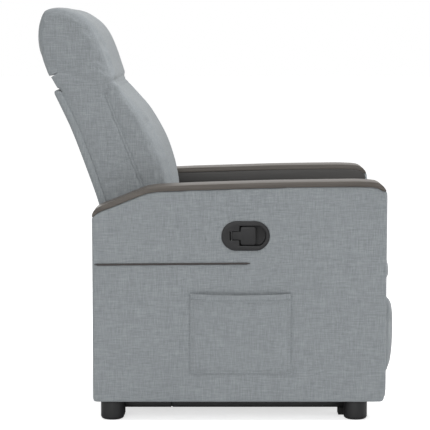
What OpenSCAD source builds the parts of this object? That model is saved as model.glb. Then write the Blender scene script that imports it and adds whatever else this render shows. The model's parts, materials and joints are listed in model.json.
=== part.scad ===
// Lift recliner chair, millimetres. +X is the chair's front, +Y the sitter's left, +Z up.
// The origin is on the floor, under the middle of the chair.

/* [Side panels] */
// Overall width over the arms
chair_w = 700; // [660:5:800]
// Thickness of one upholstered side panel
panel_t = 88.5; // [75:0.5:105]
// Front edge of the side panels
panel_front_x = 428; // [420:1:440]
// Rear edge of the side panels
panel_rear_x = -306; // [-320:1:-302]
// Height of the panels' lower edge above the floor
panel_bottom_z = 49; // [46:1:60]
// Height of the arms at their highest point
arm_h = 604; // [580:1:640]
// Thickness of the arm cap
cap_t = 13.5; // [8:0.5:22]
// How far the cap stands proud of the fabric
cap_proud = 1.5; // [0.5:0.5:4]
// Depth of the dark trim on the arm's inner side
inner_trim_h = 45; // [25:1:70]

/* [Side details] */
// Height of the dark piping line on the side panels
piping_z = 396; // [370:1:410]
// Height of the piping's visible band
piping_h = 4.5; // [3:0.5:8]
// Length of the dark piping, from the rear edge
piping_len = 394; // [200:1:600]
// Width of the side pocket
pocket_w = 251; // [200:1:280]
// Height of the side pocket
pocket_h = 201; // [150:1:230]
// Rear edge of the pocket
pocket_x = -62; // [-90:1:-40]
// Lower edge of the pocket
pocket_z = 122; // [90:1:150]
// How far the pocket stands off the panel in its middle
pocket_sag = 9; // [8.5:0.5:16]
// Thickness of the pocket's doubled fabric
pocket_t = 2; // [1:0.5:3]

/* [Latch] */
// Middle of the latch housing, along the chair
latch_x = 76; // [40:1:110]
// Middle of the latch housing, above the floor
latch_z = 468; // [450:1:500]
// Length of the oval latch housing
latch_len = 120; // [112:1:130]
// Height of the oval latch housing
latch_h = 73.5; // [70:0.5:82]
// Depth of the latch housing inside the panel
latch_depth = 28; // [24:1:40]
// Height of the lever's finger plate
lever_head_h = 46; // [36:1:50]
// Length of the lever's finger plate
lever_head_len = 38; // [30:1:40]
// Height of the lever's stem
lever_stem_h = 21; // [14:0.5:26]

/* [Seat] */
// Height of the seat's crown above the floor
seat_h = 473; // [465:1:477]
// Front of the seat cushion's nose
seat_nose_x = 448; // [438:1:450]
// Rear end of the seat cushion
seat_rear_x = -207; // [-208:1:-190]
// Top of the wooden seat rails
rail_top_z = 331; // [326:1:333]
// Height of the wooden side rails
rail_h = 69; // [50:1:80]
// Front end of the side rails
rail_front_x = 392; // [380:1:394]
// Rear end of the side rails
rail_rear_x = -238; // [-240:1:-236]
// Number of zigzag seat springs
spring_count = 5; // [3:1:6]

/* [Back] */
// Hinge line of the back, along the chair
recline_x = -225; // [-228:1:-222]
// Hinge line of the back, above the floor
recline_z = 358; // [356:1:362]
// Height of the head above the hinge line
back_h = 682; // [650:1:700]
// Gap between the back and the trims on the arms' inner sides
back_gap = 2; // [1:0.5:15]
// Thickness of the padded outside back panel
outside_back_t = 22; // [16:1:28]
// Thickness of the back frame's boards
board_t = 18; // [12:1:22]
// Length over which the cushions' ends are rounded
cushion_round = 38; // [25:1:50]

/* [Footrest] */
// Front of the footrest pad's crown
pad_front_x = 454; // [442:1:455]
// Lower edge of the footrest pad
pad_bottom_z = 99; // [90:1:110]
// Upper edge of the footrest pad
pad_top_z = 312; // [300:1:316]
// Gap between the footrest pad and each side panel
pad_gap = 8; // [5:0.5:20]
// Thickness of the board behind the pad
foot_board_t = 12; // [9:1:15]

/* [Base and feet] */
// Diameter of the round feet
foot_d = 59; // [45:1:70]
// Height of the base rails' lower face above the floor
rail_clear = 19; // [15:1:22]
// Height and width of the base's steel tube
tube_s = 25; // [20:1:26]
// Wall of the base's steel tube
tube_wall = 2; // [1.5:0.5:3]
// How far the base rails reach out under the side panels
base_reach = 2; // [0:0.5:8]
// Front end of the base rails
base_front_x = 350; // [340:1:360]
// Rear end of the base rails
base_rear_x = -266; // [-275:1:-260]

/* [Linkage] */
// Thickness of the lift arms
lift_bar_t = 6; // [4:0.5:6.5]
// Thickness of the footrest's bars and of the mounting plates
bar_t = 5; // [3:0.5:5]
// Radius of the lift pins
lift_pin_r = 6; // [5:0.5:8]
// Radius of the footrest pins
foot_pin_r = 4; // [3:0.5:4.5]
// Running clearance of a pin in its bore
pin_fit = 0.1; // [0.05:0.01:0.15]
// Extra radius of the bore at the pivots that take up the linkage's play
play = 1.6; // [1.4:0.1:2]
// Gap between bars that pass each other
bar_gap = 1; // [0.5:0.1:1.2]

/* [Actuator] */
// Stroke of the actuator's rod
stroke = 90; // [60:1:95]
// Diameter of the rod
rod_d = 20; // [14:1:22]
// Diameter of the outer tube
outer_tube_d = 30; // [28:1:36]
// Diameter of the motor
motor_d = 42; // [30:1:46]

/* [Hidden] */

$fn = 64;
near = 0.3;              // gap left between pieces that only touch
hair = 0.04;             // step that keeps a line from grazing an arc

// Pivots of the lift linkage, in the side view [x, z]
pivot_a = [180, 84];     // lower arm on the base
pivot_b = [-230, 124];   // lower arm on the carriage
pivot_c = [258, 62];     // upper arm on the base
pivot_d = [-18, 82];     // upper arm on the carriage
// Pivots of the actuator
tail_pivot = [290, 109];
rod_pivot = [86, 285];
// Pivots of the footrest linkage
rear_arm_pivot = [290, 298];
knee_pivot = [322, 91];
panel_pivot = [383, 238];
heel_pivot = [357, 77];
control_pivot = [349, 242];
rear_link_pivot = [317, 132];
front_link_pivot = [378, 278];
recline_pivot = [recline_x, recline_z];

// Levels across the chair, measured from the middle plane
half_w = chair_w / 2;
panel_outer = half_w - cap_proud;
panel_inner = panel_outer - panel_t;
base_half_w = panel_inner + base_reach;
rail_inner = base_half_w - tube_s;
base_plate_y = [rail_inner - bar_t, rail_inner];
lower_arm_y = [base_plate_y[0] - bar_gap / 2 - lift_bar_t, base_plate_y[0] - bar_gap / 2];
upper_arm_y = [lower_arm_y[0] - bar_gap - lift_bar_t, lower_arm_y[0] - bar_gap];
carriage_y = [upper_arm_y[0] - bar_gap - bar_t, upper_arm_y[0] - bar_gap];
control_link_y = [carriage_y[0] - bar_gap - bar_t, carriage_y[0] - bar_gap];
rear_arm_y = [control_link_y[0] - bar_gap - bar_t, control_link_y[0] - bar_gap];
front_arm_y = [rear_arm_y[0] - bar_gap - bar_t, rear_arm_y[0] - bar_gap];
panel_link_y = [front_arm_y[0] - bar_gap - bar_t, front_arm_y[0] - bar_gap];
back_board_y = [carriage_y[1] - 0.5, carriage_y[1] - 0.5 + board_t];
back_bracket_y = [back_board_y[1], back_board_y[1] + 4];
seat_bracket_y = [back_bracket_y[1] + 0.5, back_bracket_y[1] + 4.5];

fabric = [0.56, 0.58, 0.59];
wood_look = [0.34, 0.31, 0.29];
black = [0.21, 0.21, 0.21];
steel = [0.62, 0.63, 0.65];
beech = [0.78, 0.64, 0.45];

// ---------- helpers ----------

// Carries a side-view outline from y0 to y1
module slab(y) {
    rotate([90, 0, 0]) translate([0, 0, -y[1]]) linear_extrude(y[1] - y[0]) children();
}

module both_sides() {
    children();
    mirror([0, 1, 0]) children();
}

// A round pin or a bore's cutter along Y at a side-view point
module pin(p, r, y) {
    translate([p[0], y[1], p[1]]) rotate([90, 0, 0]) cylinder(r = r, h = y[1] - y[0]);
}

// A flat bar's outline with round ends. Its sides run a hair inside the ends' circles, so that
// the lines and arcs cross instead of grazing
module bar(a, b, r) {
    d = b - a;
    side = r - hair;
    translate(a) rotate(atan2(d[1], d[0])) translate([0, -side]) square([norm(d), 2 * side]);
    translate(a) circle(r);
    translate(b) circle(r);
}

// A bar with a bore at each end, its radii given as [first, second]
module link(a, b, r, bores, y) {
    difference() {
        slab(y) bar(a, b, r);
        pin(a, bores[0], [y[0] - 1, y[1] + 1]);
        pin(b, bores[1], [y[0] - 1, y[1] + 1]);
    }
}

module block(x, y, z) {
    translate([x[0], y[0], z[0]]) cube([x[1] - x[0], y[1] - y[0], z[1] - z[0]]);
}

// A square tube between two points of one axis: 0 along X, 1 along Y
module square_tube(axis, from, to, u, v, s, wall) {
    a = axis == 0 ? [from, to] : u;
    b = axis == 0 ? u : [from, to];
    difference() {
        block(a, b, v);
        if (axis == 0) block([from - 1, to + 1], [u[0] + wall, u[1] - wall], [v[0] + wall, v[1] - wall]);
        else block([u[0] + wall, u[1] - wall], [from - 1, to + 1], [v[0] + wall, v[1] - wall]);
    }
}

// One point of a smooth curve through four points, t running from p1 to p2
function blend4(p0, p1, p2, p3, t) = 0.5 * (2 * p1 + (p2 - p0) * t
    + (2 * p0 - 5 * p1 + 4 * p2 - p3) * t * t + (3 * p1 - p0 - 3 * p2 + p3) * t * t * t);

// A smooth closed curve through the points
function closed_curve(p, n) = let (c = len(p)) [for (i = [0:c - 1], k = [0:n - 1])
    blend4(p[(i + c - 1) % c], p[i], p[(i + 1) % c], p[(i + 2) % c], k / n)];

// A smooth open curve through the points
function open_curve(p, n) = let (c = len(p)) concat([for (i = [0:c - 2], k = [0:n - 1])
    blend4(p[max(i - 1, 0)], p[i], p[i + 1], p[min(i + 2, c - 1)], k / n)], [p[c - 1]]);

function reversed(p) = [for (i = [len(p) - 1:-1:0]) p[i]];
function moved(p, d) = [for (q = p) q + d];
function unit(v) = v / norm(v);

// Gives every point of a line the same draw, as its third number
function with_draw(p, d) = [for (q = p) [q[0], q[1], d]];

// A ring of an outline drawn in along its own normals by a share of each point's draw
function drawn_in(p, share) = let (c = len(p)) [for (i = [0:c - 1])
    let (d = p[(i + 1) % c] - p[(i + c - 1) % c], t = unit([d[0], d[1]]))
    [p[i][0] - t[1] * p[i][2] * share, p[i][1] + t[0] * p[i][2] * share]];

crown = 0.12;            // share of the draw that the crown takes before the end's rounding

// A crowned cushion: an anticlockwise side-view outline of [x, z, draw] points carried across
// the width, fullest in the middle, with both ends rounded by each point's draw
module cushion(outline, half) {
    c = len(outline);
    flat = half - cushion_round;
    right_end = [for (a = [90:-18:0]) [-flat - cushion_round * sin(a), 1 - (1 - crown) * cos(a)]];
    left_end = [for (r = reversed(right_end)) [-r[0], r[1]]];
    middle = [[-flat / 2, crown / 3], [0, 0], [flat / 2, crown / 3]];
    rings = [for (r = concat(right_end, middle, left_end)) [r[0], drawn_in(outline, r[1])]];
    steps = len(rings) - 1;
    points = [for (r = rings, q = r[1]) [q[0], r[0], q[1]]];
    sides = [for (j = [0:steps - 1], i = [0:c - 1], half_face = [0, 1])
        let (a = j * c + i, b = j * c + (i + 1) % c, e = a + c, f = b + c)
        half_face == 0 ? [a, b, f] : [a, f, e]];
    ends = [[for (i = [c - 1:-1:0]) i], [for (i = [0:c - 1]) steps * c + i]];
    polyhedron(points, concat(sides, ends), convexity = 6);
}

// ---------- base ----------

rail_joint_x = -111.5;
rail_joint_gap = 3;
sleeve_len = 80;

// Each rail is two lengths of tube, joined over a sleeve that shows in the gap between them
module base_side_rails() {
    color(black) both_sides() {
        difference() {
            square_tube(0, base_rear_x, base_front_x, [rail_inner, base_half_w],
                [rail_clear, rail_clear + tube_s], tube_s, tube_wall);
            block([rail_joint_x, rail_joint_x + rail_joint_gap], [rail_inner - 1, base_half_w + 1],
                [rail_clear - 1, rail_clear + tube_s + 1]);
        }
        square_tube(0, rail_joint_x - sleeve_len / 2, rail_joint_x + sleeve_len / 2,
            [rail_inner + tube_wall, base_half_w - tube_wall],
            [rail_clear + tube_wall, rail_clear + tube_s - tube_wall], tube_s, tube_wall);
    }
}

front_tube_x = tail_pivot[0];
rear_tube_x = -217;

module base_cross_tubes() {
    color(black) for (x = [front_tube_x, rear_tube_x])
        square_tube(1, -rail_inner, rail_inner, [x - tube_s / 2, x + tube_s / 2],
            [rail_clear, rail_clear + tube_s], tube_s, tube_wall);
}

pad_len = 36;

module base_pads() {
    color(black) both_sides() for (x = [base_rear_x, base_front_x - pad_len])
        block([x, x + pad_len], [rail_inner - 6, base_half_w + 6], [0, rail_clear]);
}

module base_pivot_plates() {
    color(black) both_sides() difference() {
        slab(base_plate_y) {
            bar(pivot_a, [pivot_a[0], rail_clear + tube_s], 15);
            bar(pivot_c, [pivot_c[0], rail_clear + tube_s], 13);
            translate([pivot_a[0] - 30, rail_clear + 3])
                square([front_tube_x - tube_s / 2 - near - pivot_a[0] + 30, tube_s + 6]);
        }
        pin(pivot_a, lift_pin_r, [base_plate_y[0] - 1, base_plate_y[1] + 1]);
        pin(pivot_c, lift_pin_r, [base_plate_y[0] - 1, base_plate_y[1] + 1]);
    }
}

module base_pivot_pins() {
    color(steel) both_sides() {
        pin(pivot_a, lift_pin_r, [lower_arm_y[0], base_plate_y[1]]);
        pin(pivot_a, lift_pin_r + 3, [base_plate_y[1], base_plate_y[1] + 3]);
        pin(pivot_c, lift_pin_r, [upper_arm_y[0], base_plate_y[1]]);
        pin(pivot_c, lift_pin_r + 3, [base_plate_y[1], base_plate_y[1] + 3]);
        pin(pivot_c, lift_pin_r + 3, [upper_arm_y[1] + bar_gap / 2, base_plate_y[0]]);
    }
}

tail_pin_r = 5;
tail_lug_half = 9;
ear_t = 5;

module actuator_bracket() {
    ears = [tail_lug_half + 0.5, tail_lug_half + 0.5 + ear_t];
    color(black) difference() {
        both_sides() slab(ears) {
            bar(tail_pivot, [tail_pivot[0], rail_clear + tube_s + 14], 12);
            translate([tail_pivot[0] - 12, rail_clear + tube_s]) square([24, 20]);
        }
        pin(tail_pivot, tail_pin_r, [-ears[1] - 1, ears[1] + 1]);
    }
    color(black) block([tail_pivot[0] - 12, tail_pivot[0] + 12], [-ears[0], ears[0]],
        [rail_clear + tube_s, rail_clear + tube_s + 4]);
}

module actuator_tail_pin() {
    reach = tail_lug_half + 0.5 + ear_t;
    color(steel) {
        pin(tail_pivot, tail_pin_r, [-reach - 2, reach + 2]);
        both_sides() pin(tail_pivot, tail_pin_r + 2.5, [reach, reach + 2]);
    }
}

// ---------- lift arms ----------

module lower_lift_arms() {
    bore = lift_pin_r + pin_fit;
    color(black) both_sides() link(pivot_a, pivot_b, 14, [bore, bore], lower_arm_y);
}

module lift_arm_tube() {
    at = pivot_a + 0.58 * (pivot_b - pivot_a);
    color(black) difference() {
        pin(at, tube_s / 2, [-lower_arm_y[0], lower_arm_y[0]]);
        pin(at, tube_s / 2 - tube_wall, [-lower_arm_y[0] - 1, lower_arm_y[0] + 1]);
    }
}

module upper_lift_arms() {
    color(black) both_sides() link(pivot_c, pivot_d, 12,
        [lift_pin_r + pin_fit, lift_pin_r + play], upper_arm_y);
}

// ---------- carriage and seat frame ----------

plate_top_z = rail_top_z - 3;
rail_bottom_z = rail_top_z - rail_h;

module carriage_plates() {
    color(black) both_sides() difference() {
        slab(carriage_y) {
            translate([rail_rear_x, rail_bottom_z - 4])
                square([rear_arm_pivot[0] - rail_rear_x, plate_top_z - rail_bottom_z + 4]);
            bar(pivot_b, [pivot_b[0] + 14, rail_bottom_z + 20], 17);
            bar(pivot_d, [pivot_d[0] + 10, rail_bottom_z + 20], 17);
            bar([pivot_b[0] + 8, 205], [pivot_d[0] + 6, 205], 11);
            bar(rear_arm_pivot, [rear_arm_pivot[0], rail_bottom_z + 20], 18);
            bar(rear_arm_pivot, control_pivot, 14);
        }
        pin(pivot_b, lift_pin_r, [0, half_w]);
        pin(pivot_d, lift_pin_r, [0, half_w]);
        pin(rear_arm_pivot, foot_pin_r, [0, half_w]);
        pin(control_pivot, foot_pin_r, [0, half_w]);
    }
}

module carriage_pins() {
    color(steel) both_sides() {
        pin(pivot_b, lift_pin_r, [carriage_y[0], lower_arm_y[1]]);
        pin(pivot_b, lift_pin_r + 3, [carriage_y[0] - 2.5, carriage_y[0]]);
        pin(pivot_b, lift_pin_r + 3, [carriage_y[1], lower_arm_y[0] - bar_gap / 2]);
        pin(pivot_d, lift_pin_r, [carriage_y[0], upper_arm_y[1]]);
        pin(pivot_d, lift_pin_r + 3, [carriage_y[0] - 2.5, carriage_y[0]]);
        pin(rear_arm_pivot, foot_pin_r, [rear_arm_y[0], carriage_y[1]]);
        pin(rear_arm_pivot, foot_pin_r + 3, [rear_arm_y[1] + bar_gap / 2, carriage_y[0]]);
        pin(control_pivot, foot_pin_r, [control_link_y[0], carriage_y[1]]);
    }
}

lug_tube_z = rod_pivot[1] + 31;

module carriage_tubes() {
    color(black) {
        square_tube(1, -carriage_y[0], carriage_y[0],
            [rod_pivot[0] - tube_s / 2, rod_pivot[0] + tube_s / 2],
            [lug_tube_z - tube_s / 2, lug_tube_z + tube_s / 2], tube_s, tube_wall);
        square_tube(1, -carriage_y[0], carriage_y[0],
            [pivot_b[0] - 4, pivot_b[0] - 4 + tube_s], [205 - tube_s / 2, 205 + tube_s / 2],
            tube_s, tube_wall);
    }
}

fork_slot = 12;

module actuator_lug() {
    lug_y = [-fork_slot / 2 + 0.5, fork_slot / 2 - 0.5];
    color(black) difference() {
        slab(lug_y) {
            circle_at(rod_pivot, 13);
            translate([rod_pivot[0] - 13, rod_pivot[1]])
                square([26, lug_tube_z - tube_s / 2 - rod_pivot[1]]);
        }
        pin(rod_pivot, tail_pin_r + play, [-half_w, half_w]);
    }
}

module circle_at(p, r) {
    translate(p) circle(r);
}

module seat_side_rails() {
    color(beech) both_sides()
        block([rail_rear_x, rail_front_x], [carriage_y[1], panel_inner - near],
            [rail_bottom_z, rail_top_z]);
}

end_rail_d = 40;
front_rail_h = 20;
rear_rail_h = 41;

module seat_end_rails() {
    y = [-carriage_y[1], carriage_y[1]];
    color(beech) {
        block([rail_front_x - end_rail_d, rail_front_x], y, [rail_top_z - front_rail_h, rail_top_z]);
        difference() {
            block([rail_rear_x + 6, rail_rear_x + 6 + 25], y, [rail_top_z - rear_rail_h, rail_top_z]);
            both_sides() block([rail_rear_x, rail_rear_x + 40], [carriage_y[0] - near, half_w],
                [rail_bottom_z, plate_top_z + near]);
        }
    }
}

wire = 3.8;
spring_x = [rail_rear_x + 26, rail_front_x - 26];
spring_turn = 15;
spring_reach = 22;

// One zigzag spring: straight stretches across the chair joined by half turns
module zigzag() {
    turns = floor((spring_x[1] - spring_x[0]) / (2 * spring_turn));
    pitch = (spring_x[1] - spring_x[0]) / turns;
    straight = [wire - hair, 2 * (spring_reach + 10 * hair)];
    for (i = [0:turns]) translate([spring_x[0] + i * pitch, 0]) square(straight, center = true);
    for (i = [0:turns - 1]) translate([spring_x[0] + (i + 0.5) * pitch, 0])
        mirror([0, i % 2]) translate([0, spring_reach]) intersection() {
            difference() {
                circle(pitch / 2 + wire / 2);
                circle(pitch / 2 - wire / 2);
            }
            translate([-pitch, 0]) square([2 * pitch, pitch]);
        }
}

spring_pitch = 2 * (carriage_y[0] - 46) / (spring_count - 1);
function spring_y(i) = -carriage_y[0] + 46 + i * spring_pitch;

module seat_springs() {
    color(steel) for (i = [0:spring_count - 1])
        translate([0, spring_y(i), rail_top_z + near]) linear_extrude(wire) zigzag();
}

module spring_clips() {
    color(steel) for (i = [0:spring_count - 1], x = spring_x) difference() {
        translate([x - 8, spring_y(i) - 9, rail_top_z]) cube([16, 18, wire + 2 * near + 1.5]);
        translate([x - wire / 2 - near, spring_y(i) - 10, rail_top_z - 1])
            cube([wire + 2 * near, 20, wire + 2 * near + 1]);
    }
}

seat_bottom_z = rail_top_z + wire + 1.5 + 3 * near;

// Side view of the seat cushion, from its rear foot round under the nose and back over the crown,
// each point with its draw
seat_outline = [[seat_rear_x + 2, seat_bottom_z + 16, 3], [seat_rear_x + 16, seat_bottom_z + 2, 2],
    [seat_rear_x + 60, seat_bottom_z, 0], [seat_rear_x + 150, seat_bottom_z, 0],
    [seat_nose_x - 190, seat_bottom_z, 0], [seat_nose_x - 95, seat_bottom_z, 0],
    [seat_nose_x - 60, seat_bottom_z, 0], [seat_nose_x - 40, seat_bottom_z + 0.2, 4],
    [seat_nose_x - 14, seat_bottom_z + 2, 8], [seat_nose_x - 3, seat_bottom_z + 13, 11],
    [seat_nose_x, seat_bottom_z + 31, 13], [seat_nose_x - 5, seat_bottom_z + 58, 14],
    [seat_nose_x - 17, seat_bottom_z + 88, 14], [seat_nose_x - 48, seat_h - 14, 14],
    [seat_nose_x - 120, seat_h - 2, 14], [seat_nose_x - 300, seat_h, 14],
    [seat_rear_x + 150, seat_h - 4, 12], [seat_rear_x + 45, seat_h - 9, 8],
    [seat_rear_x + 8, seat_h - 22, 6], [seat_rear_x, seat_h - 70, 4]];
seat_side_gap = 3;

module seat_cushion() {
    color(fabric) cushion(closed_curve(seat_outline, 3), panel_inner - seat_side_gap);
}

skirt_t = 12;
skirt_top_z = recline_z - 6;

module rear_skirt() {
    color(fabric) block([panel_rear_x + 6, panel_rear_x + 6 + skirt_t],
        [-panel_inner + near, panel_inner - near], [panel_bottom_z + 6, skirt_top_z]);
}

// ---------- side panels and arms ----------

// Side view of the arm's upper line, from the rear edge to the front edge
arm_line = [[panel_rear_x, arm_h - 110], [panel_rear_x, arm_h - 92],
    [panel_rear_x + 3, arm_h - 77], [panel_rear_x + 16, arm_h - 64.5],
    [panel_rear_x + 51, arm_h - 50.5], [panel_rear_x + 125, arm_h - 21],
    [panel_rear_x + 146, arm_h - 15.5], [panel_rear_x + 170, arm_h - 12.5],
    [panel_rear_x + 276, arm_h - 8], [panel_rear_x + 466, arm_h - 2.5],
    [panel_front_x - 100, arm_h], [panel_front_x - 60, arm_h - 0.5],
    [panel_front_x - 35, arm_h - 2], [panel_front_x - 21.5, arm_h - 4.8],
    [panel_front_x - 10.5, arm_h - 12.5], [panel_front_x - 3, arm_h - 23.8],
    [panel_front_x, arm_h - 37], [panel_front_x, arm_h - 60]];

rear_foot_r = 9;
front_foot_r = 40;

// Whole side view, cap included: the arm line above, the rounded lower corners below
module side_outline() {
    polygon(concat(
        [for (a = [180:15:270]) [panel_rear_x + rear_foot_r + rear_foot_r * cos(a),
            panel_bottom_z + rear_foot_r + rear_foot_r * sin(a)]],
        [for (a = [-90:15:0]) [panel_front_x - 12 + 12 * cos(a),
            panel_bottom_z + front_foot_r + front_foot_r * sin(a)]],
        reversed(open_curve(arm_line, 5))));
}

cap_rear_end = 89;       // how far below the arm's top the cap ends, at the rear and the front
cap_front_end = 25;

// The cap's side view: a band along the arm's upper line with blunt ends
module cap_band() {
    rear_z = arm_h - cap_rear_end;
    front_z = arm_h - cap_front_end;
    intersection() {
        difference() {
            side_outline();
            translate([0, -cap_t]) side_outline_deep();
        }
        polygon([[panel_rear_x - 1, rear_z], [0, rear_z], [0, front_z], [panel_front_x + 1, front_z],
            [panel_front_x + 1, arm_h + 1], [panel_rear_x - 1, arm_h + 1]]);
    }
}

// What lies below the cap
module under_cap() {
    difference() {
        side_outline();
        cap_band();
    }
}

// The side view carried further down, so that lowering it trims only the top
module side_outline_deep() {
    side_outline();
    translate([panel_rear_x, 0]) square([panel_front_x - panel_rear_x, arm_h / 2]);
}

module oval(len, h) {
    r = h / 2;
    bar([latch_x - len / 2 + r, latch_z], [latch_x + len / 2 - r, latch_z], r);
}

latch_rim = 4;

module panel_body() {
    slab([-panel_outer, -panel_inner]) under_cap();
}

module right_side_panel() {
    color(fabric) difference() {
        panel_body();
        slab([-panel_outer - 1, -panel_outer + latch_depth + near])
            oval(latch_len - 2 * latch_rim + 2 * near, latch_h - 2 * latch_rim + 2 * near);
    }
}

module left_side_panel() {
    color(fabric) mirror([0, 1, 0]) panel_body();
}

module arm_cap(side) {
    color(wood_look) scale([1, side, 1]) slab([panel_inner - cap_proud, half_w]) cap_band();
}

module right_arm_cap() {
    arm_cap(-1);
}

module left_arm_cap() {
    arm_cap(1);
}

trim_t = 3;
trim_x = [panel_rear_x + 160, panel_front_x - 6];

module arm_inner_trims() {
    color(wood_look) both_sides() slab([panel_inner - trim_t, panel_inner]) difference() {
        intersection() {
            translate([0, -cap_t]) side_outline_deep();
            translate([trim_x[0], arm_h - 90]) square([trim_x[1] - trim_x[0], 90]);
        }
        translate([0, -cap_t - inner_trim_h]) side_outline_deep();
    }
}

module side_piping() {
    color(black) both_sides() slab([panel_outer, panel_outer + cap_proud])
        bar([panel_rear_x + 5, piping_z], [panel_rear_x + piping_len, piping_z + 3], piping_h / 2);
}

// The pocket: a slightly bowed patch, closed below and open above
module side_pocket() {
    r = (pow(pocket_w / 2, 2) + pow(pocket_sag, 2)) / (2 * pocket_sag);
    mid = pocket_x + pocket_w / 2;
    color(fabric) translate([mid, -panel_outer, pocket_z]) {
        intersection() {
            translate([-half_w, -half_w, 0]) cube([chair_w, half_w, pocket_h]);
            difference() {
                translate([0, r - pocket_sag, 0]) cylinder(r = r, h = pocket_h, $fn = 180);
                translate([0, r - pocket_sag, pocket_t * 2])
                    cylinder(r = r - pocket_t, h = pocket_h, $fn = 180);
            }
        }
    }
}

feet_x = [-259, 355];
foot_y = half_w - 45;
foot_round = 8;

module round_feet() {
    color(black) for (x = feet_x, s = [-1, 1]) translate([x, s * foot_y, 0]) difference() {
        rotate_extrude() {
            square([foot_d / 2 - foot_round, panel_bottom_z]);
            translate([0, foot_round]) square([foot_d / 2, panel_bottom_z - foot_round]);
            translate([foot_d / 2 - foot_round, foot_round]) circle(foot_round);
        }
        translate([0, 0, panel_bottom_z - 30]) cylinder(r = bolt_r, h = 31);
    }
}

bolt_r = 4;

module foot_bolts() {
    color(steel) for (x = feet_x, s = [-1, 1]) translate([x, s * foot_y, panel_bottom_z - 30])
        cylinder(r = bolt_r - 0.05, h = 30);
}

// ---------- latch ----------

lever_y = -panel_outer + 2;
lever_t = 4.5;
lever_head_x = latch_x - 12.7;
lever_pivot_x = lever_head_x - 22;
knuckle_r = 3.8;
latch_pin_r = 1.8;
dish_rim = 9;

module rounded(x, z, r) {
    translate([x[0] + r, z[0]]) square([x[1] - x[0] - 2 * r, z[1] - z[0]]);
    translate([x[0], z[0] + r]) square([x[1] - x[0], z[1] - z[0] - 2 * r]);
    for (cx = [x[0] + r, x[1] - r], cz = [z[0] + r, z[1] - r]) circle_at([cx, cz], r);
}

// The housing: an oval bezel over a deeper tub. Its dish follows the oval's front end and stops
// behind the lever's finger plate
module latch_housing() {
    stem_half = lever_stem_h / 2 + 0.8;
    head_half = lever_head_h / 2 + 2;
    color(black) difference() {
        union() {
            slab([-panel_outer - cap_proud, -panel_outer]) oval(latch_len, latch_h);
            slab([-panel_outer, -panel_outer + latch_depth])
                oval(latch_len - 2 * latch_rim, latch_h - 2 * latch_rim);
        }
        slab([-panel_outer - 5, -panel_outer + latch_depth - 3]) intersection() {
            oval(latch_len - 2 * dish_rim, latch_h - 2 * dish_rim);
            translate([lever_head_x - 2.5, latch_z - head_half]) square([latch_len, 2 * head_half]);
        }
        slab([-panel_outer - 5, lever_y + lever_t + 5])
            translate([lever_pivot_x - knuckle_r - 1, latch_z - stem_half])
                square([lever_head_x - lever_pivot_x + knuckle_r + 4, 2 * stem_half]);
        translate([lever_pivot_x, lever_y + lever_t / 2, latch_z - 18])
            cylinder(r = latch_pin_r, h = 36);
    }
}

module latch_pin() {
    color(steel) translate([lever_pivot_x, lever_y + lever_t / 2, latch_z - 18])
        cylinder(r = latch_pin_r, h = 36);
}

// The pull lever: a finger plate on a narrow stem that turns on an upright pin
module latch_lever() {
    stem = lever_stem_h / 2;
    color(black) difference() {
        union() {
            slab([lever_y, lever_y + lever_t]) {
                rounded([lever_head_x, lever_head_x + lever_head_len],
                    [latch_z - lever_head_h / 2, latch_z + lever_head_h / 2], 6);
                translate([lever_pivot_x, latch_z - stem])
                    square([lever_head_x - lever_pivot_x + 6, 2 * stem]);
            }
            translate([lever_pivot_x, lever_y + lever_t / 2, latch_z - stem])
                cylinder(r = knuckle_r, h = 2 * stem);
        }
        translate([lever_pivot_x, lever_y + lever_t / 2, latch_z - stem - 1])
            cylinder(r = latch_pin_r + 0.1, h = 2 * stem + 2);
    }
}

// ---------- back ----------

// Side-view points of the back, measured from the recline hinge on a back of the drawn height.
// A third number is the point's draw
drawn_back_h = 682;
back_scale = back_h / drawn_back_h;
function at_back(x, z) = recline_pivot + [x, z] * back_scale;
function from_hinge(p) = [for (q = p) [each at_back(q[0], q[1]), each len(q) > 2 ? [q[2]] : []]];
rear_line = from_hinge([[-45, 0], [-52, 92], [-68, 177], [-102, 277], [-131, 354], [-152, 402],
    [-183, 466]]);
seam_line = from_hinge([[-46, 461], [-11, 357], [39, 236], [43, 190], [40, 140], [37, 119]]);
front_line = from_hinge([[60, 116, 3], [98, 117, 6], [116, 129, 11], [125, 157, 16],
    [128, 187, 19], [126, 211, 20], [112, 273, 20], [87.5, 340, 17], [48, 407, 11], [20, 440, 7],
    [-13, 473, 4], [-22, 482, 3]]);
pillow_line = from_hinge([[-24, 488, 3], [-28, 506, 4], [-37, 540, 6], [-48, 573, 7],
    [-65, 607, 8], [-85, 639, 10], [-101, 654, 10], [-124, 668, 9], [-142, 674.5, 8], [-160, 679.5, 7],
    [-178, 682, 7], [-199, 678, 5], [-213, 667, 3], [-222, 637, 1.5], [-224, 606, 1.5],
    [-221, 583, 1.5], [-212, 545, 1.5], [-196, 503, 1], [-187, 499, 1], [-177, 483, 1],
    [-166, 473, 1], [-110, 470, 1], [-55, 473, 2], [-36, 477, 3]]);

inner_rear = moved(open_curve(rear_line, 4), [outside_back_t + near, 0]);
back_half = panel_inner - trim_t - back_gap;
board_bottom_z = recline_z + 14;
pad_low_z = recline_z + 100;
seat_gap_x = seat_rear_x - recline_x - 5;
back_corner_r = 8;

// The padded panel behind, its upper rear edge rounded
module outside_back() {
    line = open_curve(rear_line, 4);
    top = line[len(line) - 1];
    up = unit(top - line[len(line) - 2]);
    in = [up[1], -up[0]];
    centre = top + (in - up) * back_corner_r;
    corner = [for (t = [0:15:90]) centre + back_corner_r * (up * sin(t) - in * cos(t))];
    color(fabric) slab([-back_half, back_half])
        polygon(concat([for (i = [0:len(line) - 2]) line[i]], corner,
            reversed(moved(line, [outside_back_t, 0]))));
}

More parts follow.
